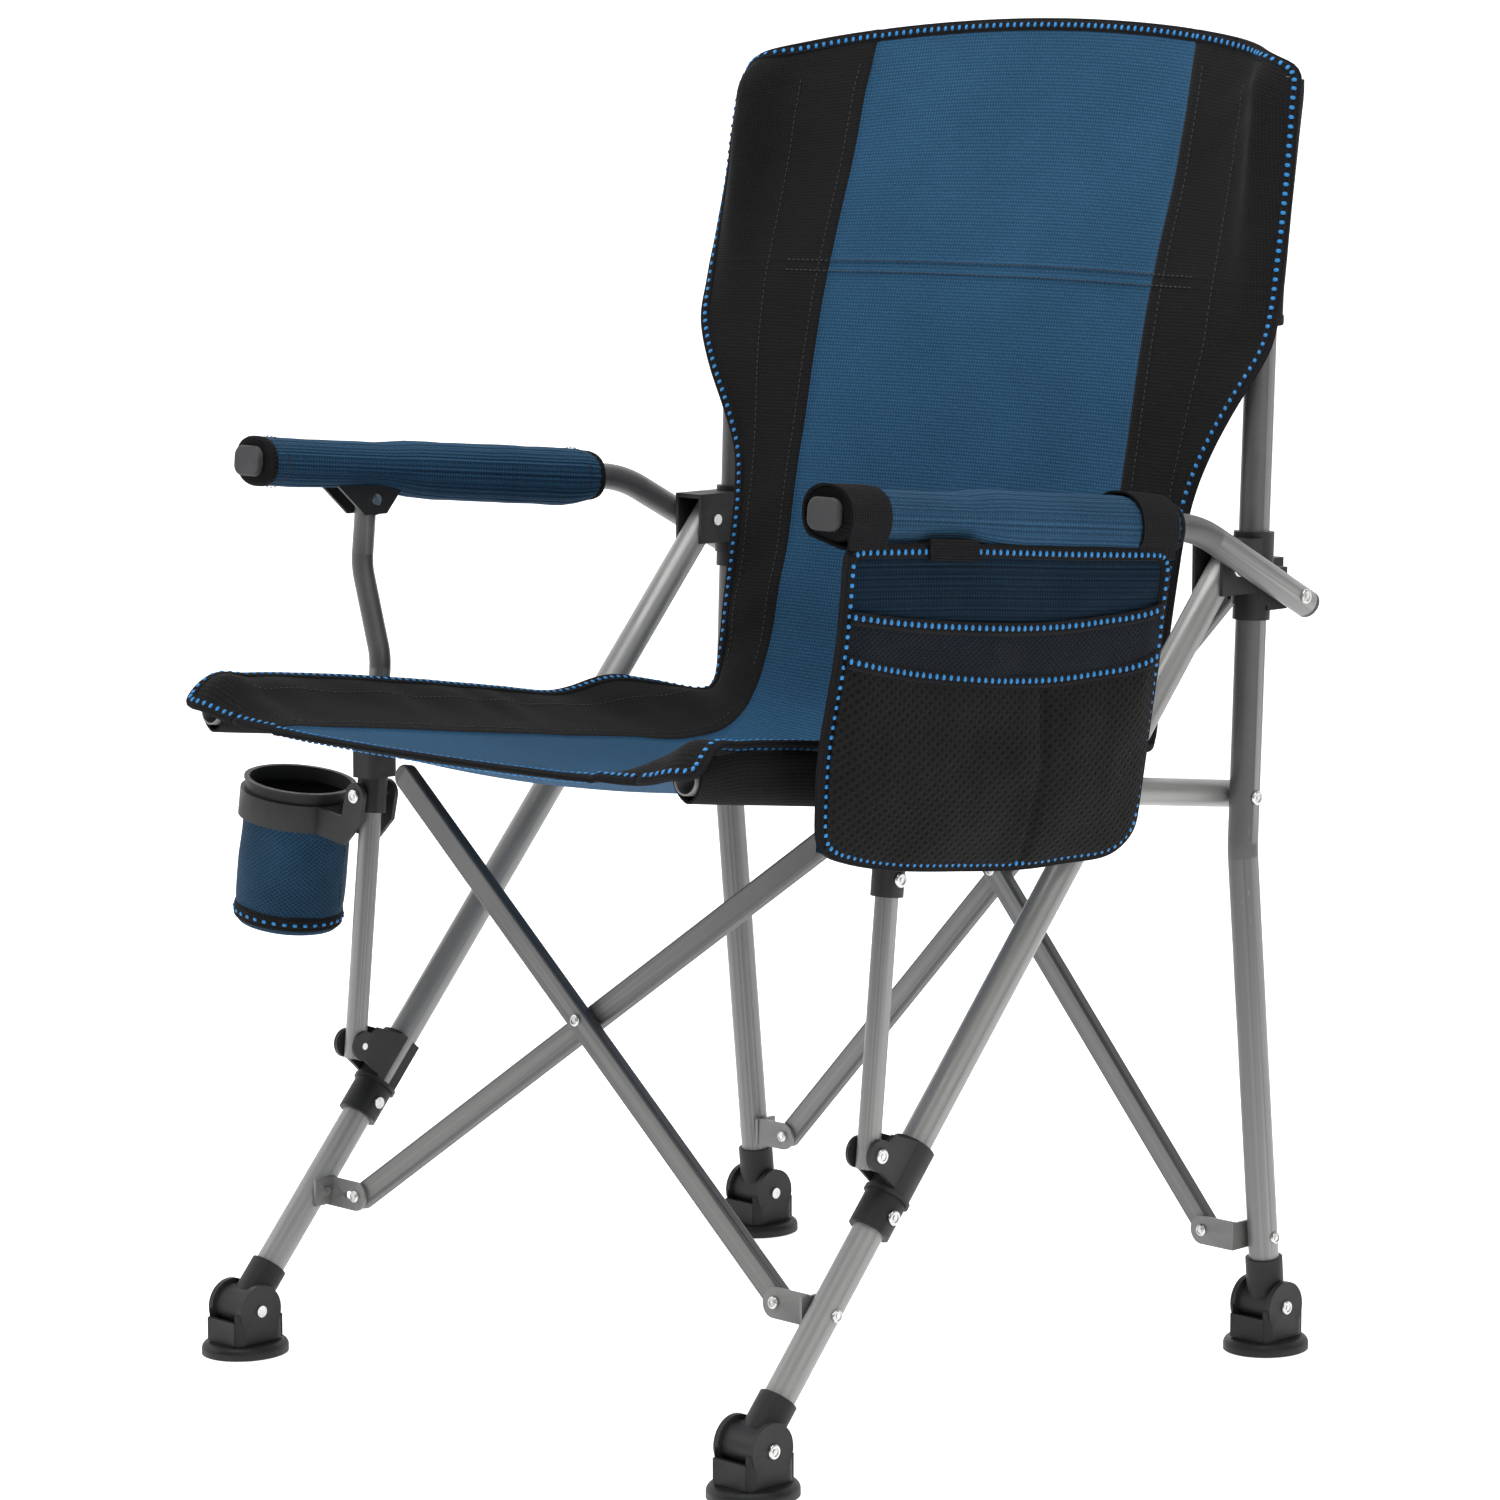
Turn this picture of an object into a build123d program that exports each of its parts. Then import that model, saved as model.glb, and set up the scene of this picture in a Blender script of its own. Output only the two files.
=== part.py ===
from build123d import *
import os
from math import sin, cos, tan, radians, hypot, atan2, degrees

# Folding camp chair. Millimetres, +Z up, floor at Z = 0, the front faces -Y.
# "left" is the sitter's left (+X).  Side frames are mirror images about X = 0.

# ---- main layout -------------------------------------------------------
FRAME_X = 262.0          # posts, legs and support tubes
RAIL_X = 240.7           # seat rails, inside the posts
ARM_X = 289.6            # arm tubes, outside the posts
BAR_PIN_X = 221.0        # end pins of all four cross bars

POST_R = 11.0
RAIL_R = 10.0
ARM_R = 10.0
SUPPORT_R = 8.0
WALL = 1.2
LEAN = 2.0               # degrees, the straight part the hub slides on

FOOT_PIN_Z = 33.0
FRONT_FOOT_Y = -261.0
REAR_FOOT_Y = 274.0
LEG_TOP = (213.0, 580.0)         # (Y, Z) leg pin in the hub
ARM_PIN = (260.0, 559.0)         # arm pin on the hub's rear ear
RAIL_PIN_Z = 413.0
POST_REF = (240.0, 390.0)        # a point on the post's sliding line
POST_BEND_Z = 375.0
POST_BEND2_Z = 775.0
POST_TOP = (275.0, 925.0)
CLEVIS_PIN = (-151.5, 213.0)     # foot of the support tube
BRACKET_PIN = (-111.7, 615.0)    # top of the support tube
SEAT_PIN_Z = 458.0               # rail pin on the support tube
RAIL_FRONT_Y = -302.0
ARM_FRONT_Y = -222.0
ARM_BEND = (150.0, 615.0)
ARM_SLOPE = 0.0934

REAR_BAR = ((262.0, 85.0), 567.0)       # lower pin (Y, Z) and upper pin Z
FRONT_BAR_LOW = (-186.6, 110.0)
FRONT_BAR_HIGH = (-139.5, 428.0)
BAR_W = 18.0
BAR_T = 10.0
BAR_SHORT = 17.0         # the front bars' upper ends stop short, clear of the rails
BAR_OFF = 5.6            # half the spacing of the two bars of a pair

RIVET_R = 2.5
RIVET_GAP = 0.05
HEAD_R = 5.2
SMALL_HEAD_R = 4.4
INNER = 10.8             # nothing of the leg's and support's fittings reaches further in, so the rail can pass
HEAD_T = 2.0

ORIGIN_X = 35.0          # shift of the finished chair
ORIGIN_Y = 1.0

nodes = {}


# ---- helpers -----------------------------------------------------------
def unit(v):
    n = hypot(v[0], v[1], v[2])
    return (v[0] / n, v[1] / n, v[2] / n)


def add(p, v, k=1.0):
    return (p[0] + v[0] * k, p[1] + v[1] * k, p[2] + v[2] * k)


def rod(p0, p1, r):
    """Solid cylinder from p0 to p1."""
    d = (p1[0] - p0[0], p1[1] - p0[1], p1[2] - p0[2])
    length = hypot(*d)
    pl = Plane(origin=p0, z_dir=unit(d))
    return extrude(pl * Circle(r), length)


def pipe(points, r, bend=0.0):
    """Hollow tube through the points."""
    if len(points) == 2:
        return rod(points[0], points[1], r) - rod(points[0], points[1], r - WALL)
    path = FilletPolyline(*points, radius=bend)
    d = unit(tuple(points[1][i] - points[0][i] for i in range(3)))
    pl = Plane(origin=points[0], z_dir=d)
    ring = pl * (Circle(r) - Circle(r - WALL))
    return sweep(ring, path=path)


def box(x0, x1, y0, y1, z0, z1):
    b = Box(abs(x1 - x0), abs(y1 - y0), abs(z1 - z0))
    return b.moved(Location(((x0 + x1) / 2, (y0 + y1) / 2, (z0 + z1) / 2)))


def slab_yz(pts, x0, x1):
    """Prism with a (Y, Z) outline between two X planes."""
    face = make_face(Polyline(*[(x0, y, z) for y, z in pts], close=True))
    return extrude(face, x1 - x0, dir=(1, 0, 0))


def disc_x(y, z, r, x0, x1):
    return rod((x0, y, z), (x1, y, z), r)


def post_y(z):
    return POST_REF[0] + (z - POST_REF[1]) * tan(radians(LEAN))


def leg_point(s, off=0.0):
    """Point on the front leg, s from the foot pin, off towards the front and up."""
    d = (LEG_TOP[0] - FRONT_FOOT_Y, LEG_TOP[1] - FOOT_PIN_Z)
    n = hypot(*d)
    u = (d[0] / n, d[1] / n)
    return (FRONT_FOOT_Y + u[0] * s - u[1] * off, FOOT_PIN_Z + u[1] * s + u[0] * off)


def support_y(z):
    k = (BRACKET_PIN[0] - CLEVIS_PIN[0]) / (BRACKET_PIN[1] - CLEVIS_PIN[1])
    return CLEVIS_PIN[0] + (z - CLEVIS_PIN[1]) * k


RAIL_PIN = (post_y(RAIL_PIN_Z), RAIL_PIN_Z)
SEAT_PIN = (support_y(SEAT_PIN_Z), SEAT_PIN_Z)
RAIL_K = (SEAT_PIN[1] - RAIL_PIN[1]) / (SEAT_PIN[0] - RAIL_PIN[0])
LEG_LEN = hypot(LEG_TOP[0] - FRONT_FOOT_Y, LEG_TOP[1] - FOOT_PIN_Z)


def rail_z(y):
    return RAIL_PIN[1] + (y - RAIL_PIN[0]) * RAIL_K


def arm_z(y):
    return ARM_BEND[1] - (y - ARM_BEND[0]) * ARM_SLOPE


def ring_on(p0, p1, r_out, r_in):
    return rod(p0, p1, r_out) - rod(add(p0, unit(tuple(p0[i] - p1[i] for i in range(3))), 1),
                                    add(p1, unit(tuple(p1[i] - p0[i] for i in range(3))), 1), r_in)


def leg3(s, off=0.0, x=FRAME_X):
    y, z = leg_point(s, off)
    return (x, y, z)


def post3(z, x=FRAME_X):
    return (x, post_y(z), z)


# ---- rivets ------------------------------------------------------------
rivets = {}


def rivet(group, tip, head, drilled, head_r=HEAD_R, tail_t=1.4):
    """A rivet from tip to head, its shaft drilled through the nodes named."""
    d = unit(tuple(head[i] - tip[i] for i in range(3)))
    shaft = rod(tip, head, RIVET_R)
    cap = rod(head, add(head, d, HEAD_T), head_r)
    top = cap.edges().filter_by(GeomType.CIRCLE).sort_by(Axis(head, d))[-1]
    cap = fillet(top, 1.2)
    ring = rod(add(head, d, HEAD_T - 0.7), add(head, d, HEAD_T + 0.1), 3.0)
    ring = ring - rod(add(head, d, HEAD_T - 1.0), add(head, d, HEAD_T + 0.2), 1.8)
    cap = cap - ring
    hole = rod(add(tip, d, -4), add(head, d, 4), RIVET_R + RIVET_GAP)
    whole = cap + shaft
    if tail_t > 0:
        whole = whole + rod(add(tip, d, -tail_t), tip, head_r - 0.9)
    rivets.setdefault(group, []).append(whole)
    for n in drilled:
        nodes[n] = nodes[n] - hole


# ---- feet --------------------------------------------------------------
def foot_shell(y):
    """Wide rubber foot with two round cheeks and a front lip."""
    base = Ellipse(30, 33)
    floor = extrude(Plane(origin=(FRAME_X, y, 0)) * base, 9)
    floor = fillet(floor.edges().sort_by(Axis.Z)[-1], 5)
    body = extrude(Plane(origin=(FRAME_X, y, 7)) * RectangleRounded(37, 46, 9), FOOT_PIN_Z - 7)
    cheeks = disc_x(y, FOOT_PIN_Z, 19, FRAME_X - 18.5, FRAME_X + 18.5)
    block = floor + body + cheeks
    slot = box(FRAME_X - 14.3, FRAME_X + 14.3, y - 60, y + 60, 17, 80)
    low = box(FRAME_X - 14.3, FRAME_X + 14.3, y - 18.2, y + 18.2, 12, 20)
    keep_lip = box(FRAME_X - 15, FRAME_X + 15, y - 23, y - 19.6, 10, 27)
    keep_heel = box(FRAME_X - 15, FRAME_X + 15, y + 19.6, y + 23, 10, 27)
    return block - slot - low + keep_lip + keep_heel


def knuckle(y, direction):
    """Ferrule on the tube's end that turns between the foot's cheeks."""
    p = (FRAME_X, y, FOOT_PIN_Z)
    hub = disc_x(y, FOOT_PIN_Z, 15.5, FRAME_X - 14, FRAME_X + 14)
    sock = rod(p, add(p, direction, 36), 13.6)
    return hub + sock - rod(add(p, direction, 15), add(p, direction, 40), POST_R)


leg_dir = unit((0, LEG_TOP[0] - FRONT_FOOT_Y, LEG_TOP[1] - FOOT_PIN_Z))
post_low_dir = unit((0, post_y(POST_BEND_Z) - REAR_FOOT_Y, POST_BEND_Z - FOOT_PIN_Z))

L = {}
L["front_foot"] = foot_shell(FRONT_FOOT_Y)
L["rear_foot"] = foot_shell(REAR_FOOT_Y)
L["front_foot_ferrule"] = knuckle(FRONT_FOOT_Y, leg_dir)
L["rear_foot_ferrule"] = knuckle(REAR_FOOT_Y, post_low_dir)

# ---- back post ---------------------------------------------------------
foot_pin = (FRAME_X, REAR_FOOT_Y, FOOT_PIN_Z)
post_pts = [
    add(foot_pin, post_low_dir, 15.2),
    post3(POST_BEND_Z),
    post3(POST_BEND2_Z),
    (FRAME_X, POST_TOP[0], POST_TOP[1]),
]
L["back_post"] = pipe(post_pts, POST_R, 90)
top_dir = unit((0, POST_TOP[0] - post_y(POST_BEND2_Z), POST_TOP[1] - POST_BEND2_Z))

# ---- front leg ---------------------------------------------------------
fpin = (FRAME_X, FRONT_FOOT_Y, FOOT_PIN_Z)
L["front_leg"] = pipe([add(fpin, leg_dir, 15.2), leg3(LEG_LEN + 11)], POST_R)
L["leg_stop_collar"] = ring_on(leg3(168), leg3(194), 14.8, POST_R)
L["leg_stop_collar"] += ring_on(leg3(193.5), leg3(196.5), 16.6, POST_R)
sleeve = rod(leg3(197), leg3(236), 15.2)
CLEVIS_S = 207.7
fork = []
for x0, x1 in ((FRAME_X - INNER, FRAME_X - 8.4), (FRAME_X + 8.5, FRAME_X + 12.2)):
    a = leg_point(198.5, 10)
    b = leg_point(235, 10)
    c = leg_point(226, 33)
    e = leg_point(200, 42)
    fork.append(slab_yz([a, b, c, e], x0, x1) + disc_x(CLEVIS_PIN[0], CLEVIS_PIN[1], 11, x0, x1))
for f in fork:
    sleeve = sleeve + f
sleeve = sleeve - rod(leg3(190), leg3(240), POST_R + 0.3)
L["leg_sleeve"] = sleeve - box(FRAME_X - 30, FRAME_X - INNER, -260, 20, 100, 320)

# ---- hub that slides on the post ---------------------------------------
hub = rod(post3(552), post3(604), 14.6)
hub += box(FRAME_X - 14.2, FRAME_X + 14.2, 196, 240, 562, 600.5)
hub = hub - box(FRAME_X - 11.4, FRAME_X + 11.4, 190, 230.5, 550, 597.2)
hub += box(FRAME_X, FRAME_X + 14.4, 246, 268, 548, 578)
hub += disc_x(ARM_PIN[0], ARM_PIN[1], 10, FRAME_X + 2, FRAME_X + 14.4)
u_pin = (REAR_BAR[0][0] + (REAR_BAR[1] - REAR_BAR[0][1]) * tan(radians(LEAN)), REAR_BAR[1])
hub += box(FRAME_X - 26, FRAME_X, 250, u_pin[0] + 2.6, 553, 583)
hub_bore = rod(post3(540), post3(620), POST_R + 0.3)
hub += rod(post3(541), post3(553), 13.4)
L["post_hub"] = hub - hub_bore

# ---- support tube and its hub ------------------------------------------
def sup3(z, x=FRAME_X):
    return (x, support_y(z), z)


sup_pts = [
    sup3(CLEVIS_PIN[1] - 10),
    sup3(500),
    sup3(566, ARM_X),
    sup3(BRACKET_PIN[1] + 6, ARM_X),
]
L["support_tube"] = pipe(sup_pts, SUPPORT_R, 45)
seat_hub = box(FRAME_X - 10.6, FRAME_X + 10.6, support_y(428) - 14, support_y(428) + 14, 412, 444)
seat_hub = fillet(seat_hub.edges().filter_by(Axis.Z), 4)
seat_hub += rod(sup3(386), sup3(413), 11.2)
seat_hub += rod(sup3(443), sup3(467), 11.0)
seat_hub += disc_x(SEAT_PIN[0], SEAT_PIN[1], 7.5, FRAME_X - INNER, FRAME_X)
front_k = (FRONT_BAR_HIGH[0] - FRONT_BAR_LOW[0]) / (FRONT_BAR_HIGH[1] - FRONT_BAR_LOW[1])
seat_hub = seat_hub - rod(sup3(380), sup3(475), SUPPORT_R + 0.02)
L["seat_hub"] = seat_hub - box(FRAME_X - 30, FRAME_X - INNER, -160, -100, 380, 480)

# ---- seat rail ---------------------------------------------------------
rail_dir = unit((0, -1, -RAIL_K))
rail_rear = (RAIL_X, RAIL_PIN[0] + 13, rail_z(RAIL_PIN[0] + 13))
rail_front = (RAIL_X, RAIL_FRONT_Y, rail_z(RAIL_FRONT_Y))
L["seat_rail"] = pipe([rail_rear, rail_front], RAIL_R)

# ---- arm ---------------------------------------------------------------
arm_front = (ARM_X, ARM_FRONT_Y, arm_z(ARM_FRONT_Y))
arm_tail_dir = unit((0, ARM_PIN[0] - ARM_BEND[0], ARM_PIN[1] - ARM_BEND[1]))
arm_rear = add((ARM_X, ARM_PIN[0], ARM_PIN[1]), arm_tail_dir, 14)
L["arm_tube"] = pipe([arm_front, (ARM_X, ARM_BEND[0], ARM_BEND[1]), arm_rear], ARM_R, 110)
arm_dir = unit((0, -1, ARM_SLOPE))
cap_plane = Plane(origin=add(arm_front, arm_dir, 0.05), x_dir=(1, 0, 0), z_dir=arm_dir)
plug = extrude(cap_plane * RectangleRounded(28, 22, 8), 4)
plug = fillet(plug.edges().group_by(Axis.Y)[0], 1.4)
plug += rod(add(arm_front, arm_dir, -11), add(arm_front, arm_dir, 1), ARM_R - WALL - 0.05)
tail_cap = rod(add(arm_rear, arm_tail_dir, 0.05), add(arm_rear, arm_tail_dir, 3.2), ARM_R)
tail_cap += rod(add(arm_rear, arm_tail_dir, -7), add(arm_rear, arm_tail_dir, 1), ARM_R - WALL - 0.05)
L["arm_end_caps"] = Compound([plug.solid(), tail_cap.solid()])

bracket = []
for x0, x1 in ((ARM_X - 11.0, ARM_X - 8.5), (ARM_X + 8.5, ARM_X + 11.0)):
    zt = arm_z(BRACKET_PIN[0])
    pts = [(-148, zt - 12), (-84, zt - 16), (-101, 604), (-122, 604)]
    bracket.append(slab_yz(pts, x0, x1) + disc_x(BRACKET_PIN[0], BRACKET_PIN[1] - 1, 10.5, x0, x1))
saddle = slab_yz([(-148, arm_z(-148) - 13.4), (-84, arm_z(-84) - 13.4), (-84, arm_z(-84) - 9),
                  (-148, arm_z(-148) - 9)], ARM_X - 11.0, ARM_X + 11.0)
arm_bracket = saddle + bracket[0] + bracket[1]
arm_bracket = arm_bracket - rod(add(arm_front, arm_dir, 5), (ARM_X, ARM_BEND[0], ARM_BEND[1]), ARM_R + 0.02)
L["arm_bracket"] = arm_bracket


def pad_section(y0, y1, wide, tall, r_in):
    """Oval sleeve round the arm tube."""
    p0 = (ARM_X, y0, arm_z(y0))
    pl = Plane(origin=p0, x_dir=(1, 0, 0), z_dir=unit((0, y1 - y0, arm_z(y1) - arm_z(y0))))
    length = hypot(y1 - y0, arm_z(y1) - arm_z(y0))
    return extrude(pl * (Ellipse(wide / 2, tall / 2) - Circle(r_in)), length)


PAD_Y0 = ARM_FRONT_Y + 6
PAD_Y1 = 128.0
pad = pad_section(PAD_Y0, PAD_Y1, 44, 39, ARM_R + 0.1)
pad = pad - box(ARM_X - 11.6, ARM_X + 11.6, -149.5, -82.5, 590, arm_z(-115) + 1)
L["arm_pad"] = pad

for name in list(L):
    nodes["left_" + name] = L[name]
    nodes["right_" + name] = mirror(L[name], about=Plane.YZ)

# ---- cross bars --------------------------------------------------------
rear_n = (0, cos(radians(LEAN)), -sin(radians(LEAN)))
front_lean = atan2(FRONT_BAR_HIGH[0] - FRONT_BAR_LOW[0], FRONT_BAR_HIGH[1] - FRONT_BAR_LOW[1])
front_n = (0, cos(front_lean), -sin(front_lean))


def flat_bar(low, high, normal, off):
    """Flat oval bar between two pins, off along the normal of the crossing plane."""
    a = add(low, normal, off)
    b = add(high, normal, off)
    along = unit((b[0] - a[0], b[1] - a[1], b[2] - a[2]))
    mid = tuple((a[i] + b[i]) / 2 for i in range(3))
    length = hypot(b[0] - a[0], b[1] - a[1], b[2] - a[2])
    pl = Plane(origin=add(mid, normal, -BAR_T / 2), x_dir=along, z_dir=normal)
    outer = extrude(pl * SlotCenterToCenter(length, BAR_W), BAR_T)
    outer = fillet(outer.edges().filter_by(Axis(mid, along)), 2.4)
    pl2 = Plane(origin=add(mid, normal, -BAR_T / 2 + WALL), x_dir=along, z_dir=normal)
    inner = extrude(pl2 * Rectangle(length - 14, BAR_W - 2 * WALL), BAR_T - 2 * WALL)
    return outer - inner


rear_low = (BAR_PIN_X, REAR_BAR[0][0], REAR_BAR[0][1])
rear_high = (-BAR_PIN_X, u_pin[0], u_pin[1])
front_low = (BAR_PIN_X, FRONT_BAR_LOW[0], FRONT_BAR_LOW[1])
front_high = (-BAR_PIN_X, FRONT_BAR_HIGH[0], FRONT_BAR_HIGH[1])


def flip(p):
    return (-p[0], p[1], p[2])


nodes["rear_cross_bar_a"] = flat_bar(rear_low, rear_high, rear_n, -BAR_OFF)
nodes["rear_cross_bar_b"] = flat_bar(flip(rear_low), flip(rear_high), rear_n, BAR_OFF)
bar_dir = unit(tuple(front_high[i] - front_low[i] for i in range(3)))
front_top = add(front_high, bar_dir, -BAR_SHORT)
nodes["front_cross_bar_a"] = flat_bar(front_low, front_top, front_n, -BAR_OFF)
nodes["front_cross_bar_b"] = flat_bar(flip(front_low), flip(front_top), front_n, BAR_OFF)


def end_plate(pin, normal, off, x_out, half=10.5, t=2.5):
    """Plate in front of a bar's end, reaching out in X to the side frame."""
    c = add(pin, normal, off)
    s = 1 if pin[0] > 0 else -1
    up = (0, -normal[2], normal[1])
    up = up if up[2] > 0 else (0, normal[2], -normal[1])
    pl = Plane(origin=c, x_dir=(s, 0, 0), z_dir=normal)
    reach = abs(x_out) - abs(pin[0])
    plate = extrude(pl * (Pos(reach / 2, 0) * Rectangle(reach, 2 * half)), t)
    return plate + extrude(pl * Circle(half), t)


def lower_bracket(pin, normal, off, frame_y, frame_z, tilt):
    """Bent strap: one leaf on the tube's inner face, one in front of the bar's end."""
    s = 1 if pin[0] > 0 else -1
    x_in = FRAME_X - POST_R - 2.9
    leaf = end_plate(pin, normal, off, x_in + 2.5)
    y_plate = pin[1] + normal[1] * off
    x0, x1 = sorted((s * x_in, s * (x_in + 2.5)))
    side = box(x0, x1, min(y_plate, frame_y - 10), max(y_plate + 2.5, frame_y + 10), frame_z - 10, frame_z + 10)
    return leaf + side


FRONT_BRACKET_S = 103.0
fb = leg_point(FRONT_BRACKET_S)
rb_z = REAR_BAR[0][1]
rb_y = REAR_FOOT_Y + (rb_z - FOOT_PIN_Z) * post_low_dir[1] / post_low_dir[2]
OFF_A = -BAR_OFF - BAR_T / 2 - 0.4 - 2.5
OFF_B = BAR_OFF - BAR_T / 2 - 0.4 - 2.5
nodes["left_rear_bracket"] = lower_bracket(rear_low, rear_n, OFF_A, rb_y, rb_z, 0)
nodes["right_rear_bracket"] = lower_bracket(flip(rear_low), rear_n, OFF_B, rb_y, rb_z, 0)
nodes["left_front_bracket"] = lower_bracket(front_low, front_n, OFF_A, fb[0], fb[1], 0)
nodes["right_front_bracket"] = lower_bracket(flip(front_low), front_n, OFF_B, fb[0], fb[1], 0)

slot_pin = add(flip(front_low), front_n, OFF_B - 3)
slot_cut = extrude(Plane(origin=slot_pin, x_dir=(-1, 0, 0), z_dir=front_n)
                   * (Pos(4.6, 0) * SlotCenterToCenter(9.2, 2 * RIVET_R + 0.6)), 8)
nodes["right_front_bracket"] = nodes["right_front_bracket"] - slot_cut

# ears that carry the upper bar ends, in the gap plane between the two bars
EAR_A = -0.2
EAR_B = -2.8
ear_r = end_plate(rear_high, rear_n, EAR_A, FRAME_X - 16, 10.5, 3.0)
ear_l = end_plate(flip(rear_high), rear_n, EAR_B, FRAME_X - 16, 10.5, 3.0)
nodes["right_post_hub"] = nodes["right_post_hub"] + ear_r
nodes["left_post_hub"] = nodes["left_post_hub"] + ear_l

# ---- cup holder on the right support tube ------------------------------
CUP_PIN_Z = 399.0
CUP_REACH = 80.6         # pin to the middle of the cup
CUP_TILT = 9.0           # degrees, the outer side is the higher one
BAND_R = 44.5
BAND_IN = 41.9
RIM_R = 41.0
RIM_IN = 38.4
BAG_LOW = -122.5
cup_y = support_y(CUP_PIN_Z)


def cup_tube(z0, z1, r1, r2):
    """Ring round the cup's own axis, heights from the pin."""
    c0 = (-CUP_REACH, 0, z0)
    c1 = (-CUP_REACH, 0, z1)
    cut0 = (-CUP_REACH, 0, z0 - 1)
    cut1 = (-CUP_REACH, 0, z1 + 1)
    return rod(c0, c1, r1) - rod(cut0, cut1, r2)


def cup_place(shape):
    tilted = shape.rotate(Axis((0, 0, 0), (0, 1, 0)), CUP_TILT)
    return tilted.moved(Location((-FRAME_X, cup_y, CUP_PIN_Z)))


ears = []
for y0, y1 in ((-17.2, -13.8), (13.8, 17.2)):
    pts = [(-52, -39.5), (-7, -39.5), (8.6, -19), (10, 0), (-10, 0), (-12, -19), (-52, -19)]
    ear = extrude(make_face(Polyline(*[(x, y0, z) for x, z in pts], close=True)), y1 - y0, dir=(0, 1, 0))
    ears.append(ear + rod((0, y0, 0), (0, y1, 0), 10))
ears = ears[0] + ears[1]
ears = ears - rod((-CUP_REACH, 0, -60), (-CUP_REACH, 0, -20), BAND_IN)
ears = ears - rod((-CUP_REACH, 0, -60), (-CUP_REACH, 0, 20), RIM_IN)
ring = cup_tube(-39.5, -19, BAND_R, BAND_IN) + cup_tube(-21, -19, BAND_R, RIM_IN)
ring = ring + cup_tube(-20, -10, RIM_R, RIM_IN) + cup_tube(-11.6, -10, RIM_R + 1.4, RIM_IN)
nodes["cup_ring"] = cup_place(ring + ears)
bag_h = -23 - BAG_LOW
bag = Solid.make_cone(38.6, 40.2, bag_h, Plane(origin=(-CUP_REACH, 0, BAG_LOW)))
bag_in = Solid.make_cone(36.4, 38.2, bag_h, Plane(origin=(-CUP_REACH, 0, BAG_LOW + 2.2)))
nodes["cup_bag"] = cup_place(bag - bag_in)

# ---- pocket hung on the left arm ---------------------------------------
POCKET_X = ARM_X + 24.5
pocket_y0 = -226.0
pocket_y1 = 124.0
pocket_z0 = 392.0
pocket_z1 = 617.0


def pocket_panel(x0, x1, y0, y1, z0, z1, r):
    face = RectangleRounded(y1 - y0, z1 - z0, r)
    pl = Plane(origin=(x0, (y0 + y1) / 2, (z0 + z1) / 2), x_dir=(0, 1, 0), z_dir=(1, 0, 0))
    return extrude(pl * face, x1 - x0)


nodes["pocket_back"] = pocket_panel(POCKET_X, POCKET_X + 3, pocket_y0, pocket_y1, pocket_z0, pocket_z1, 22)
pouch = pocket_panel(POCKET_X + 3.1, POCKET_X + 15, pocket_y0 + 2, pocket_y1 - 2, pocket_z0 + 2, 572, 20)
pouch = pouch - box(POCKET_X + 2, POCKET_X + 12.6, pocket_y0 + 6, pocket_y1 - 6, pocket_z0 + 8, 590)
nodes["pocket_pouch"] = pouch
loops = []
for yc, w in ((-175.0, 40.0), (108.0, 32.0)):
    p0 = yc - w / 2
    p1 = yc + w / 2
    pl = Plane(origin=(ARM_X, p0, arm_z(p0)), x_dir=(1, 0, 0), z_dir=unit((0, 1, -ARM_SLOPE)))
    strap = extrude(pl * (RectangleRounded(48.8, 44.0, 20) - RectangleRounded(45.6, 40.8, 18.4)), w)
    drop = box(POCKET_X - 2.2, POCKET_X - 0.2, p0 + 1, p1 - 1, pocket_z1 - 26, arm_z(yc) - 6)
    strap = strap + (drop - extrude(pl * RectangleRounded(47, 42.2, 19), w))
    loops.append(strap.solids()[0])
nodes["pocket_loops"] = Compound(loops)

# ---- sling: seat and back ----------------------------------------------
SEAT_SAG = 28.0
SLEEVE_R = 12.2


def band(x_half, sag, t, n=16):
    """Closed outline of a sagging band across the seat, in (X, depth)."""
    top = []
    low = []
    for i in range(n + 1):
        x = -x_half + 2 * x_half * i / n
        z = -sag * (1 - (x / x_half) ** 2)
        top.append((x, z))
        low.append((x, z - t))
    return top + low[::-1]


def seat_piece(y0, y1, x_half, sag):
    p0 = (0, y0, rail_z(y0))
    n = unit((0, y1 - y0, rail_z(y1) - rail_z(y0)))
    pl = Plane(origin=p0, x_dir=(1, 0, 0), z_dir=n)
    face = make_face(Polyline(*band(x_half, -sag, 4.0), close=True))
    length = hypot(y1 - y0, rail_z(y1) - rail_z(y0))
    return extrude(pl * face, length)


seat = seat_piece(-304, 150, RAIL_X - 11.5, SEAT_SAG)
for s in (1, -1):
    for y0, y1 in ((-304.0, -170.0), (-92.0, 50.0)):
        a = (s * RAIL_X, y0, rail_z(y0))
        b = (s * RAIL_X, y1, rail_z(y1))
        seat = seat + ring_on(a, b, SLEEVE_R, RAIL_R + 0.4)
nodes["seat_fabric"] = seat

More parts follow.
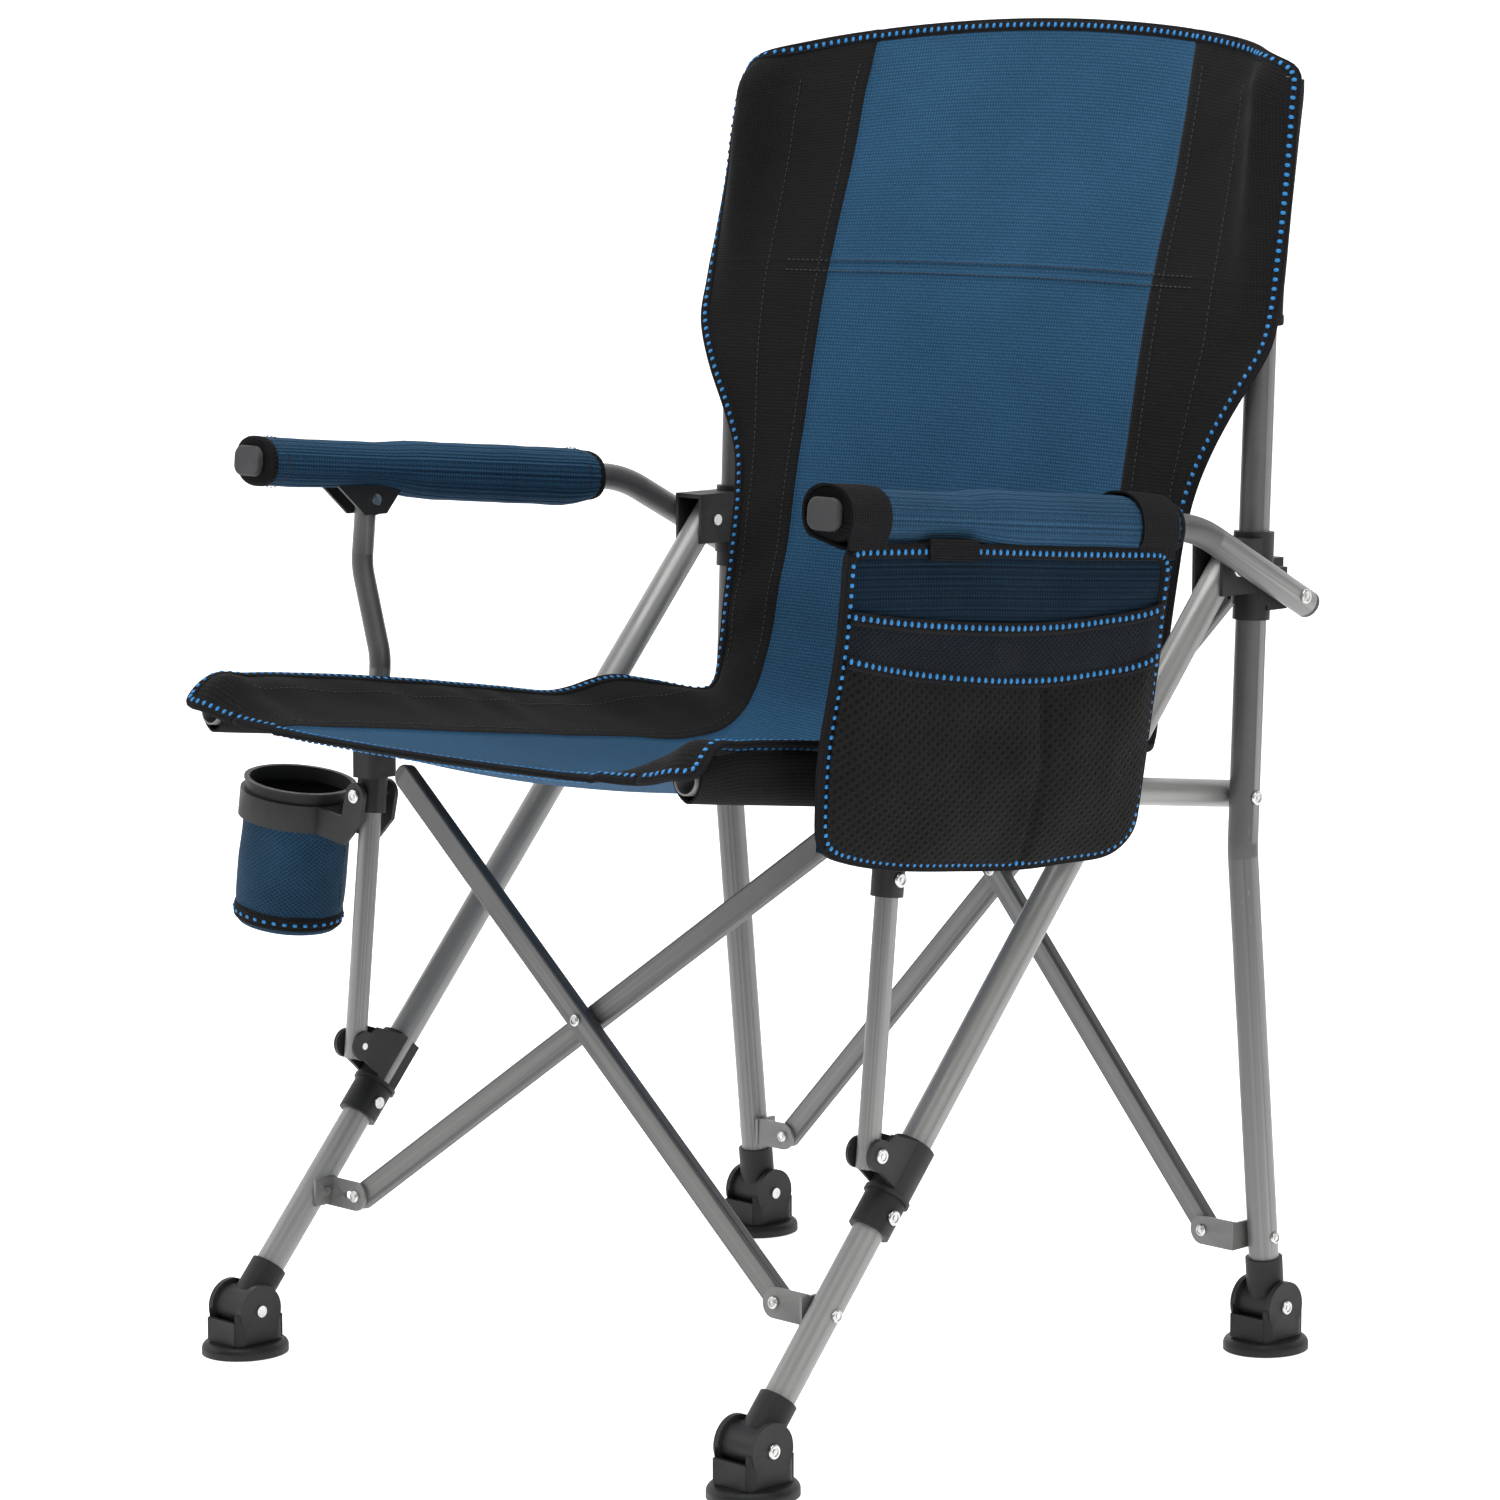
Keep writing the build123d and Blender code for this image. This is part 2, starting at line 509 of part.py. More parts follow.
BACK_TOP = 966.0
BACK_ARCH = 20.0         # drop of the top edge from the middle to X = 224
back_pts = [(275, 970), (266, 930), (262, 860), (252, 760), (230, 690), (208, 612), (190, 530), (172, 462)]
back_pts.append((160, 440))
outline = back_pts + [(y + 5, z) for y, z in back_pts[::-1]]
back = slab_yz(outline, -224.0, 224.0)
wing = slab_yz([(264, 960), (258, 925), (246, 785), (254, 785), (268, 925), (276, 960)], -250.0, 250.0)
back = back + wing
arch = []
for i in range(21):
    x = -290.0 + 29.0 * i
    arch.append((x, 200.0, BACK_TOP - BACK_ARCH * (x / 224.0) ** 2))
arch += [(290.0, 200.0, 1000.0), (-290.0, 200.0, 1000.0)]
above = extrude(make_face(Polyline(*arch, close=True)), 120, dir=(0, 1, 0))
back = back - above
for s in (1, -1):
    a = (s * FRAME_X, post_y(POST_BEND2_Z) + (790 - POST_BEND2_Z) * top_dir[1] / top_dir[2], 790)
    b = add((s * FRAME_X, POST_TOP[0], POST_TOP[1]), top_dir, 6)
    sock = rod(a, b, 14.2) - rod(add(a, top_dir, -2), add(b, top_dir, -1.8), POST_R + 0.5)
    back = back + sock
nodes["back_fabric"] = back

# ---- rivets ------------------------------------------------------------
def x_rivet(group, side, y, z, x_in, x_out, drilled, head_r=HEAD_R, flush=False):
    """Rivet along X with its dome on the outer end; a flush one has no tail on the inner end."""
    tail_t = 0 if flush else 1.4
    rivet(group, (side * x_in, y, z), (side * x_out, y, z), drilled, head_r, tail_t)


for side, nm in ((1, "left_"), (-1, "right_")):
    x_rivet(nm + "post_rivets", side, REAR_FOOT_Y, FOOT_PIN_Z, FRAME_X - 18.6, FRAME_X + 18.6,
            [nm + "rear_foot", nm + "rear_foot_ferrule"])
    x_rivet(nm + "post_rivets", side, rb_y, rb_z, FRAME_X - 14.0, FRAME_X + 11.1,
            [nm + "back_post", nm + "rear_bracket"], SMALL_HEAD_R)
    x_rivet(nm + "post_rivets", side, RAIL_PIN[0], RAIL_PIN[1], RAIL_X - 10.1, FRAME_X + 11.1,
            [nm + "back_post", nm + "seat_rail"])
    x_rivet(nm + "leg_rivets", side, FRONT_FOOT_Y, FOOT_PIN_Z, FRAME_X - 18.6, FRAME_X + 18.6,
            [nm + "front_foot", nm + "front_foot_ferrule"])
    x_rivet(nm + "leg_rivets", side, leg_point(181)[0], leg_point(181)[1], FRAME_X - 14.9, FRAME_X + 14.9,
            [nm + "front_leg", nm + "leg_stop_collar"])
    x_rivet(nm + "leg_rivets", side, fb[0], fb[1], FRAME_X - 14.0, FRAME_X + 11.1,
            [nm + "front_leg", nm + "front_bracket"], SMALL_HEAD_R)
    x_rivet(nm + "leg_rivets", side, LEG_TOP[0], LEG_TOP[1], FRAME_X - 14.3, FRAME_X + 14.3,
            [nm + "post_hub", nm + "front_leg"])
    x_rivet(nm + "support_rivets", side, CLEVIS_PIN[0], CLEVIS_PIN[1], FRAME_X - INNER, FRAME_X + 12.3,
            [nm + "leg_sleeve", nm + "support_tube"], flush=True)
    if side > 0:
        x_rivet(nm + "support_rivets", side, support_y(398), 398, FRAME_X - INNER, FRAME_X + 11.3,
                [nm + "seat_hub", nm + "support_tube"], flush=True)
    x_rivet(nm + "arm_rivets", side, BRACKET_PIN[0], BRACKET_PIN[1], ARM_X - 11.1, ARM_X + 11.1,
            [nm + "arm_bracket", nm + "support_tube"])

# rear ends of the arms: a short rivet through the tube, clear of the hub's ear
for side, nm in ((1, "left_"), (-1, "right_")):
    lo, hi = (ARM_X - 5.0, ARM_X + 10.1) if side > 0 else (-ARM_X + 5.0, -ARM_X - 10.1)
    rivet(nm + "arm_rivets", (lo, ARM_PIN[0], ARM_PIN[1]), (hi, ARM_PIN[0], ARM_PIN[1]), [nm + "arm_tube"])


def bar_rivet(group, pin, normal, back, front, drilled):
    """Rivet along the normal of a crossing plane, its dome towards the front."""
    rivet(group, add(pin, normal, back), add(pin, normal, front), drilled, SMALL_HEAD_R)


mid_rear = (0, (rear_low[1] + rear_high[1]) / 2, (rear_low[2] + rear_high[2]) / 2)
mid_front = (0, (front_low[1] + front_high[1]) / 2, (front_low[2] + front_high[2]) / 2)
HALF_BAR = BAR_OFF + BAR_T / 2
bar_rivet("rear_bar_a_rivets", rear_low, rear_n, -0.5, OFF_A - 0.1, ["rear_cross_bar_a", "left_rear_bracket"])
bar_rivet("rear_bar_a_rivets", mid_rear, rear_n, HALF_BAR + 0.1, -HALF_BAR - 0.1,
          ["rear_cross_bar_a", "rear_cross_bar_b"])
bar_rivet("rear_bar_a_rivets", rear_high, rear_n, 2.9, -HALF_BAR - 0.1, ["rear_cross_bar_a", "right_post_hub"])
bar_rivet("rear_bar_b_rivets", flip(rear_low), rear_n, HALF_BAR + 0.1, OFF_B - 0.1,
          ["rear_cross_bar_b", "right_rear_bracket"])
bar_rivet("rear_bar_b_rivets", flip(rear_high), rear_n, HALF_BAR + 0.1, -2.9,
          ["rear_cross_bar_b", "left_post_hub"])
bar_rivet("front_bar_a_rivets", front_low, front_n, -0.5, OFF_A - 0.1, ["front_cross_bar_a", "left_front_bracket"])
bar_rivet("front_bar_a_rivets", mid_front, front_n, HALF_BAR + 0.1, -HALF_BAR - 0.1,
          ["front_cross_bar_a", "front_cross_bar_b"])
bar_rivet("front_bar_b_rivets", flip(front_low), front_n, HALF_BAR + 0.1, OFF_B - 0.1,
          ["front_cross_bar_b", "right_front_bracket"])
rivet("cup_rivets", (-FRAME_X, cup_y + 17.3, CUP_PIN_Z), (-FRAME_X, cup_y - 17.3, CUP_PIN_Z),
      ["cup_ring", "right_seat_hub", "right_support_tube"])

for nm, solids in rivets.items():
    nodes[nm] = Compound([s.solid() for s in solids])

# ---- write -------------------------------------------------------------
# The origin is the middle of the whole chair's box, on the floor.
shift = Location((ORIGIN_X, ORIGIN_Y, 0))
os.makedirs("parts", exist_ok=True)
for name in nodes:
    export_step(nodes[name].moved(shift), "parts/" + name + ".step")
print(len(nodes), "nodes")
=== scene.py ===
"""Folding camp chair: sling, pads, pocket and cup bag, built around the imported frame."""
import math

import bpy
import numpy as np
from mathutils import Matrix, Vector

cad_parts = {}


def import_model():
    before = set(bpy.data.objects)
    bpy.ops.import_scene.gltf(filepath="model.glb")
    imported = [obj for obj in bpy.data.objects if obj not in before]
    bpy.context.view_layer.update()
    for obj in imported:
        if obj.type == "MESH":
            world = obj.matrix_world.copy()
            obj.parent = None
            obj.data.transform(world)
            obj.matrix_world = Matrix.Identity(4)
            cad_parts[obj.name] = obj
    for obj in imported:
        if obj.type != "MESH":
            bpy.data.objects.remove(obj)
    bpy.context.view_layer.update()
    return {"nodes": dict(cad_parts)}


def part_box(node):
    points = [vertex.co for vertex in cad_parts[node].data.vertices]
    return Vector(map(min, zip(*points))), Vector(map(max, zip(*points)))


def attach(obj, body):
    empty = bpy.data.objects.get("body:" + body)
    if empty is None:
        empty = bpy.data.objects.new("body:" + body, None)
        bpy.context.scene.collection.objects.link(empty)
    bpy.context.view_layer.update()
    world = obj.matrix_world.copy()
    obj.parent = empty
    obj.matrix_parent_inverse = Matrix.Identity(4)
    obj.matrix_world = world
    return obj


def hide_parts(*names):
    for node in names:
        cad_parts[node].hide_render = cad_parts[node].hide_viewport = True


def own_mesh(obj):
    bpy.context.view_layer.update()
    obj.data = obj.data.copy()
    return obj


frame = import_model()


def mid(node):
    low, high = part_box(node)
    return (low + high) / 2


OX = mid("left_back_post").x - 0.262
OY = mid("left_rear_foot").y - 0.274
RAIL_X = 240.7
ARM_X = 289.6
SPLIT = 205.0                       # the sling is cut here into a middle and two side strips
PAD_FRONT = -216.0
PAD_REAR = 112.0
SQUARE = 0.86                       # how square the pads' section is, 1 being an oval
SHEET = 2.6                         # thickness of the sling
SIDES = (("left", 1), ("right", -1))


def world(points):
    """Chair millimetres to frame metres."""
    p = np.asarray(points, float) / 1000
    return p + np.array([OX, OY, 0.0])


def arm_z(y):
    return 615 - (y - 150) * 0.0934


def rail_z(y):
    return 413 - 0.1223 * (y - 240.8)


# ---------------------------------------------------------------- small maths

def unit(v):
    n = np.linalg.norm(v, axis=-1, keepdims=True)
    return v / np.maximum(n, 1e-9)


def hermite(s, pts, q):
    """A smooth curve through pts (n, k) at the lengths s, read at q."""
    s = np.asarray(s, float)
    pts = np.asarray(pts, float)
    h = np.diff(s)[:, None]
    d = np.diff(pts, axis=0) / h
    m = np.empty_like(pts)
    m[0] = d[0]
    m[-1] = d[-1]
    m[1:-1] = (d[:-1] * h[1:] + d[1:] * h[:-1]) / (h[1:] + h[:-1])
    i = np.clip(np.searchsorted(s, q, side="right") - 1, 0, len(s) - 2)
    t = ((q - s[i]) / (s[i + 1] - s[i]))[:, None]
    w = (s[i + 1] - s[i])[:, None]
    a = (2 * t ** 3 - 3 * t ** 2 + 1) * pts[i] + (t ** 3 - 2 * t ** 2 + t) * w * m[i]
    return a + (3 * t ** 2 - 2 * t ** 3) * pts[i + 1] + (t ** 3 - t ** 2) * w * m[i + 1]


def lengths(pts):
    return np.concatenate([[0], np.cumsum(np.linalg.norm(np.diff(pts, axis=0), axis=1))])


def read_at(s, pts, q):
    """Points read at the lengths q, straight from one to the next."""
    return np.stack([np.interp(q, s, pts[:, k]) for k in range(pts.shape[1])], -1)


def spread(pts, n):
    """A smooth curve through pts, read at n even places."""
    pts = np.asarray(pts, float)
    s = lengths(pts)
    return hermite(s, pts, np.linspace(0, s[-1], n))


def run_lengths(g, axis):
    """Length along each column (axis 0) or row (axis 1) of a grid of points."""
    step = np.linalg.norm(np.diff(g, axis=axis), axis=2)
    start = np.zeros_like(step[:, :1] if axis else step[:1])
    return np.concatenate([start, np.cumsum(step, axis=axis)], axis)


def along(pts, step, smooth=True):
    """The path read again at even steps."""
    pts = np.asarray(pts, float)
    s = lengths(pts)
    n = max(2, int(round(s[-1] / step)) + 1)
    q = np.linspace(0, s[-1], n)
    if smooth and len(pts) > 2:
        return hermite(s, pts, q)
    return read_at(s, pts, q)


def noise(*axes):
    """Smooth value noise from -1 to 1, the same on every run."""
    p = np.stack(np.broadcast_arrays(*axes), -1).astype(float)
    base = np.floor(p)
    f = p - base
    f = f * f * (3 - 2 * f)
    total = np.zeros(p.shape[:-1])
    k = p.shape[-1]
    prime = np.array([127.1, 311.7, 74.7])[:k]
    for corner in range(2 ** k):
        bits = np.array([(corner >> j) & 1 for j in range(k)], float)
        value = np.sin(((base + bits) * prime).sum(-1)) * 43758.5453
        value = value - np.floor(value)
        total += np.where(bits > 0, f, 1 - f).prod(-1) * value
    return 2 * total - 1


# ---------------------------------------------------------------- materials

class Nodes:
    """A short way to write a node material."""

    def __init__(self, name):
        self.mat = bpy.data.materials.new(name)
        self.mat.use_nodes = True
        self.tree = self.mat.node_tree
        self.bsdf = self.tree.nodes["Principled BSDF"]

    def add(self, kind, inputs=None, **attrs):
        node = self.tree.nodes.new("ShaderNode" + kind)
        for key, value in attrs.items():
            setattr(node, key, value)
        for key, value in (inputs or {}).items():
            if isinstance(value, bpy.types.NodeSocket):
                self.tree.links.new(value, node.inputs[key])
            else:
                node.inputs[key].default_value = value
        return node

    def math(self, op, a, b=0.5):
        return self.add("Math", {0: a, 1: b}, operation=op).outputs[0]

    def mix(self, fac, a, b, blend="MIX"):
        node = self.add("MixRGB", {"Fac": fac, "Color1": a, "Color2": b}, blend_type=blend)
        return node.outputs[0]

    def ramp(self, value, stops):
        node = self.add("ValToRGB", {"Fac": value})
        bar = node.color_ramp
        bar.elements[0].position, bar.elements[0].color = stops[0]
        bar.elements[1].position, bar.elements[1].color = stops[-1]
        for place, colour in stops[1:-1]:
            bar.elements.new(place).color = colour
        return node.outputs[0]

    def noise(self, vector, scale, detail=3.0, rough=0.55):
        node = self.add("TexNoise", {"Vector": vector, "Scale": scale, "Detail": detail, "Roughness": rough})
        return node.outputs["Fac"]

    def stretch(self, vector, scale):
        return self.add("Mapping", {"Vector": vector, "Scale": scale}).outputs[0]

    def wave(self, vector, pitch, direction):
        return self.add("TexWave", {"Vector": vector, "Scale": 0.31416 / pitch}, wave_type="BANDS",
                        bands_direction=direction).outputs["Fac"]

    def finish(self, colour, rough, height, strength, distance):
        bump = self.add("Bump", {"Height": height, "Strength": strength, "Distance": distance})
        for value, socket in ((colour, "Base Color"), (rough, "Roughness"), (bump.outputs[0], "Normal")):
            self.tree.links.new(value, self.bsdf.inputs[socket])
        return self.mat


def rgb(r, g, b):
    return (r, g, b, 1.0)


def grey(v):
    return (v, v, v, 1.0)


def tinted(c, k):
    return (min(1, c[0] * k), min(1, c[1] * k), min(1, c[2] * k), 1.0)


def cloth(name, colour, pitch=0.0026, sheen=0.03, depth=0.0004, heather=0.5, ribs=0.0, rib_dir="Y"):
    """Plain woven polyester: crossed yarns, heathered colour, slow fading and a dull sheen."""
    n = Nodes(name)
    uv = n.add("TexCoord").outputs["UV"]
    warp = n.wave(uv, pitch, "X")
    weft = n.wave(uv, pitch, "Y")
    yarn = n.math("MULTIPLY", warp, weft)
    grain = n.noise(n.stretch(uv, (900, 420, 1)), 1.0, 2.0)
    slub = n.noise(n.stretch(uv, (60, 500, 1)), 1.0, 3.0)
    slow = n.noise(uv, 9.0, 4.0)
    lit = n.mix(heather, colour, n.ramp(grain, [(0.30, tinted(colour, 0.45)), (0.5, colour),
                                                (0.72, tinted(colour, 1.9))]))
    lit = n.mix(0.16, lit, n.ramp(slub, [(0.35, tinted(colour, 0.7)), (0.65, tinted(colour, 1.35))]))
    lit = n.mix(0.30, lit, n.ramp(slow, [(0.35, tinted(colour, 0.72)), (0.65, tinted(colour, 1.25))]))
    lit = n.mix(0.55, lit, n.ramp(yarn, [(0.0, grey(0.25)), (0.55, grey(1.0))]), "MULTIPLY")
    height = n.math("ADD", n.math("MULTIPLY", yarn, 0.8), n.math("MULTIPLY", grain, 0.35))
    if ribs:
        rib = n.wave(uv, ribs, rib_dir)
        height = n.math("ADD", height, n.math("MULTIPLY", rib, 1.6))
        lit = n.mix(0.45, lit, n.ramp(rib, [(0.0, grey(0.35)), (0.5, grey(1.0))]), "MULTIPLY")
    rough = n.math("ADD", n.math("MULTIPLY", slow, 0.12), 0.80)
    n.bsdf.inputs["Sheen Weight"].default_value = sheen
    n.bsdf.inputs["Sheen Roughness"].default_value = 0.45
    n.bsdf.inputs["Specular IOR Level"].default_value = 0.05
    return n.finish(lit, rough, height, 0.8, depth)


def net(name, thread, hole_shade, pitch=0.0042, squash_v=1.3):
    """Knitted mesh: a pattern of holes between fine threads; the holes are not cut but painted dark, painted
    shade for the space behind the mesh.
    """
    n = Nodes(name)
    uv = n.add("TexCoord").outputs["UV"]
    turned = n.add("Mapping", {"Vector": uv, "Scale": (1, squash_v, 1),
                               "Rotation": (0, 0, math.pi / 4)}).outputs[0]
    cells = n.add("TexVoronoi", {"Vector": turned, "Scale": 1 / pitch, "Randomness": 0.06},
                  feature="DISTANCE_TO_EDGE").outputs["Distance"]
    fine = n.noise(uv, 1400.0, 2.0)
    slow = n.noise(uv, 14.0, 3.0)
    # The hole colour is painted shade: the dark space seen through the holes
    body = n.ramp(cells, [(0.10, tinted(thread, 1.15)), (0.22, thread), (0.30, hole_shade)])
    body = n.mix(0.4, body, n.ramp(slow, [(0.35, tinted(thread, 0.6)), (0.7, tinted(thread, 1.6))]))
    height = n.math("ADD", n.ramp(cells, [(0.12, grey(1)), (0.34, grey(0))]), n.math("MULTIPLY", fine, 0.3))
    n.bsdf.inputs["Sheen Weight"].default_value = 0.02
    n.bsdf.inputs["Specular IOR Level"].default_value = 0.06
    rough = n.math("ADD", n.math("MULTIPLY", fine, 0.2), 0.62)
    return n.finish(body, rough, height, 0.9, 0.0007)


def thread(name, colour):
    """Twisted sewing thread."""
    n = Nodes(name)
    spot = n.add("TexCoord").outputs["Object"]
    ply = n.wave(n.stretch(spot, (1, 1, 1.3)), 0.0011, "DIAGONAL")
    fuzz = n.noise(spot, 1200.0, 2.0)
    slow = n.noise(spot, 30.0, 2.0)
    twist = n.ramp(ply, [(0.1, tinted(colour, 0.55)), (0.8, tinted(colour, 1.25))])
    lit = n.mix(0.5, tinted(colour, 0.75), twist)
    lit = n.mix(0.3, lit, n.ramp(slow, [(0.3, tinted(colour, 0.7)), (0.7, tinted(colour, 1.2))]))
    rough = n.math("ADD", n.math("MULTIPLY", fuzz, 0.25), 0.42)
    n.bsdf.inputs["Sheen Weight"].default_value = 0.03
    return n.finish(lit, rough, n.math("ADD", ply, fuzz), 0.5, 0.0003)


def coat(name, colour, metal, rough_mid, orange_peel, chips, peel_scale=420.0):
    """Powder coat over steel: fine peel, rubbed edges, dust and faint scratches."""
    n = Nodes(name)
    spot = n.add("TexCoord").outputs["Object"]
    peel = n.noise(spot, peel_scale, 3.0)
    dust = n.noise(spot, 22.0, 5.0)
    scratch = n.noise(n.stretch(spot, (1500, 1500, 45)), 1.0, 2.0)
    fleck = n.noise(spot, 1600.0, 1.0)
    edge = n.add("NewGeometry").outputs["Pointiness"]
    lit = n.ramp(dust, [(0.30, tinted(colour, 0.86)), (0.55, colour), (0.75, tinted(colour, 1.16))])
    lit = n.mix(0.25, lit, n.ramp(fleck, [(0.35, tinted(colour, 0.75)), (0.68, tinted(colour, 1.5))]))
    lit = n.mix(n.ramp(scratch, [(0.70, grey(0)), (0.80, grey(0.35))]), lit, chips)
    lit = n.mix(n.ramp(edge, [(0.54, grey(0)), (0.62, grey(0.55))]), lit, chips)
    rough = n.ramp(dust, [(0.3, grey(rough_mid - 0.07)), (0.7, grey(rough_mid + 0.09))])
    n.bsdf.inputs["Metallic"].default_value = metal
    n.bsdf.inputs["Coat Weight"].default_value = 0.06
    n.bsdf.inputs["Coat Roughness"].default_value = 0.3
    return n.finish(lit, rough, n.math("ADD", peel, n.math("MULTIPLY", scratch, 0.3)), orange_peel, 0.0003)


def moulded(name, colour, rough_mid=0.5):
    """Moulded plastic: fine spark grain, shiny rubbed corners and handling marks."""
    n = Nodes(name)
    spot = n.add("TexCoord").outputs["Object"]
    grain = n.noise(spot, 1100.0, 2.0)
    smear = n.noise(spot, 35.0, 5.0)
    edge = n.add("NewGeometry").outputs["Pointiness"]
    lit = n.ramp(smear, [(0.3, tinted(colour, 0.8)), (0.55, colour), (0.75, tinted(colour, 1.5))])
    lit = n.mix(n.ramp(edge, [(0.53, grey(0)), (0.62, grey(0.5))]), lit, tinted(colour, 3.0))
    rough = n.ramp(smear, [(0.3, grey(rough_mid - 0.1)), (0.7, grey(rough_mid + 0.14))])
    n.bsdf.inputs["Specular IOR Level"].default_value = 0.28
    return n.finish(lit, rough, grain, 0.25, 0.0002)


def zinc(name):
    """Bright zinc: spun marks and dull white bloom."""
    n = Nodes(name)
    spot = n.add("TexCoord").outputs["Object"]
    spun = n.noise(spot, 900.0, 3.0)
    bloom = n.noise(spot, 120.0, 4.0)
    lit = n.ramp(bloom, [(0.3, rgb(0.50, 0.50, 0.49)), (0.6, rgb(0.74, 0.74, 0.73)),
                         (0.8, rgb(0.62, 0.62, 0.60))])
    rough = n.ramp(bloom, [(0.3, grey(0.22)), (0.75, grey(0.42))])
    n.bsdf.inputs["Metallic"].default_value = 1.0
    return n.finish(lit, rough, spun, 0.12, 0.0002)


BLUE = rgb(0.029, 0.094, 0.180)
BLACK = rgb(0.015, 0.015, 0.0155)
M_BLUE = cloth("Blue_weave", BLUE)
M_PAD = cloth("Blue_pad_weave", rgb(0.030, 0.088, 0.164), ribs=0.0034, rib_dir="X", depth=0.0005)
M_RIB = cloth("Blue_ribbed", rgb(0.008, 0.024, 0.045), ribs=0.0042, rib_dir="Y", depth=0.0006)
M_BLACK = cloth("Black_weave", BLACK, heather=0.6)
M_TAPE = cloth("Black_tape", rgb(0.018, 0.018, 0.020), pitch=0.0017, ribs=0.0034, rib_dir="X", sheen=0.02)
M_WEB = cloth("Black_webbing", rgb(0.016, 0.016, 0.018), pitch=0.0022, ribs=0.0016, rib_dir="Y", sheen=0.02)
# The last colour of each net is painted shade for its holes
M_NET = net("Black_net", rgb(0.009, 0.009, 0.0093), rgb(0.0015, 0.002, 0.0022), pitch=0.0062)
M_NET_UP = net("Grey_net", rgb(0.007, 0.010, 0.014), rgb(0.003, 0.005, 0.008), pitch=0.0036)
M_NET_BLUE = net("Blue_net", rgb(0.017, 0.050, 0.092), rgb(0.005, 0.013, 0.024), pitch=0.0030)
M_THREAD = thread("Blue_thread", rgb(0.010, 0.240, 0.620))
M_DARK_THREAD = thread("Dark_thread", rgb(0.012, 0.014, 0.020))
M_STEEL = coat("Grey_powder_coat", rgb(0.086, 0.085, 0.086), 0.30, 0.38, 0.12, rgb(0.42, 0.42, 0.41))
M_STRAP = coat("Flat_bar_coat", rgb(0.088, 0.087, 0.088), 0.30, 0.42, 0.10, rgb(0.30, 0.30, 0.29))
M_PLASTIC = moulded("Black_plastic", rgb(0.013, 0.013, 0.0135))
M_GREY_PLASTIC = moulded("Grey_plastic", rgb(0.040, 0.041, 0.043), 0.45)
M_ZINC = zinc("Bright_zinc")


# ---------------------------------------------------------------- mesh builders

def make(name, verts, faces, mats, body, uvs=None, index=None, sharp=None):
    """A mesh object in the frame, riding a body. uvs is one pair per vertex, in metres."""
    me = bpy.data.meshes.new(name)
    me.from_pydata([tuple(v) for v in verts], [], [tuple(int(i) for i in f) for f in faces])
    me.polygons.foreach_set("use_smooth", [True] * len(me.polygons))
    for m in mats:
        me.materials.append(m)
    if index is not None:
        me.polygons.foreach_set("material_index", np.asarray(index, np.int32))
    if uvs is not None:
        loops = np.empty(len(me.loops), np.int32)
        me.loops.foreach_get("vertex_index", loops)
        layer = me.uv_layers.new(name="UVMap")
        layer.data.foreach_set("uv", np.asarray(uvs, float)[loops].ravel())
    if sharp:
        pairs = set(tuple(sorted((int(a), int(b)))) for a, b in sharp)
        flags = [tuple(sorted(e.vertices)) in pairs for e in me.edges]
        attribute = me.attributes.new("sharp_edge", "BOOLEAN", "EDGE")
        attribute.data.foreach_set("value", flags)
    me.validate()
    me.update()
    obj = bpy.data.objects.new(name, me)
    bpy.context.scene.collection.objects.link(obj)
    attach(obj, body)
    return obj


def grid_normals(g):
    du = np.gradient(g, axis=1)
    dv = np.gradient(g, axis=0)
    return unit(np.cross(du, dv))


def shell(name, g, thick, mats, body, uv=None, index=None, flip=False):
    """A sheet with real thickness from a grid g (rows, columns, 3) in mm; its face looks along du x dv."""
    nr, nc = g.shape[:2]
    n = grid_normals(g)
    if flip:
        n = -n
    back = g - n * thick
    verts = world(np.concatenate([g.reshape(-1, 3), back.reshape(-1, 3)]))
    if uv is None:
        uv = np.stack([run_lengths(g, 1), run_lengths(g, 0)], -1)
    uvs = np.concatenate([uv.reshape(-1, 2), uv.reshape(-1, 2)]) / 1000
    k = np.arange(nr * nc).reshape(nr, nc)
    a, b, c, d = k[:-1, :-1].ravel(), k[:-1, 1:].ravel(), k[1:, 1:].ravel(), k[1:, :-1].ravel()
    front = np.stack([a, b, c, d], 1)
    rear = np.stack([d, c, b, a], 1) + nr * nc
    rim = np.concatenate([k[0, :-1], k[:-1, -1], k[-1, :0:-1], k[:0:-1, 0]])
    nxt = np.roll(rim, -1)
    wall = np.stack([nxt, rim, rim + nr * nc, nxt + nr * nc], 1)
    faces = np.concatenate([front, rear, wall])
    if flip:
        faces = faces[:, ::-1]
    tags = None
    if index is not None:
        flat = np.broadcast_to(index, (nr - 1, nc - 1)).ravel()
        edge = np.zeros(len(wall), int)
        tags = np.concatenate([flat, flat, edge])
    sharp = list(zip(rim, nxt)) + list(zip(rim + nr * nc, nxt + nr * nc))
    return make(name, verts, faces, mats, body, uvs, tags, sharp)


def soft_cos(a, power):
    """Cosine pushed towards a square section."""
    return np.sign(np.cos(a)) * np.abs(np.cos(a)) ** power


def soft_sin(a, power):
    return np.sign(np.sin(a)) * np.abs(np.sin(a)) ** power


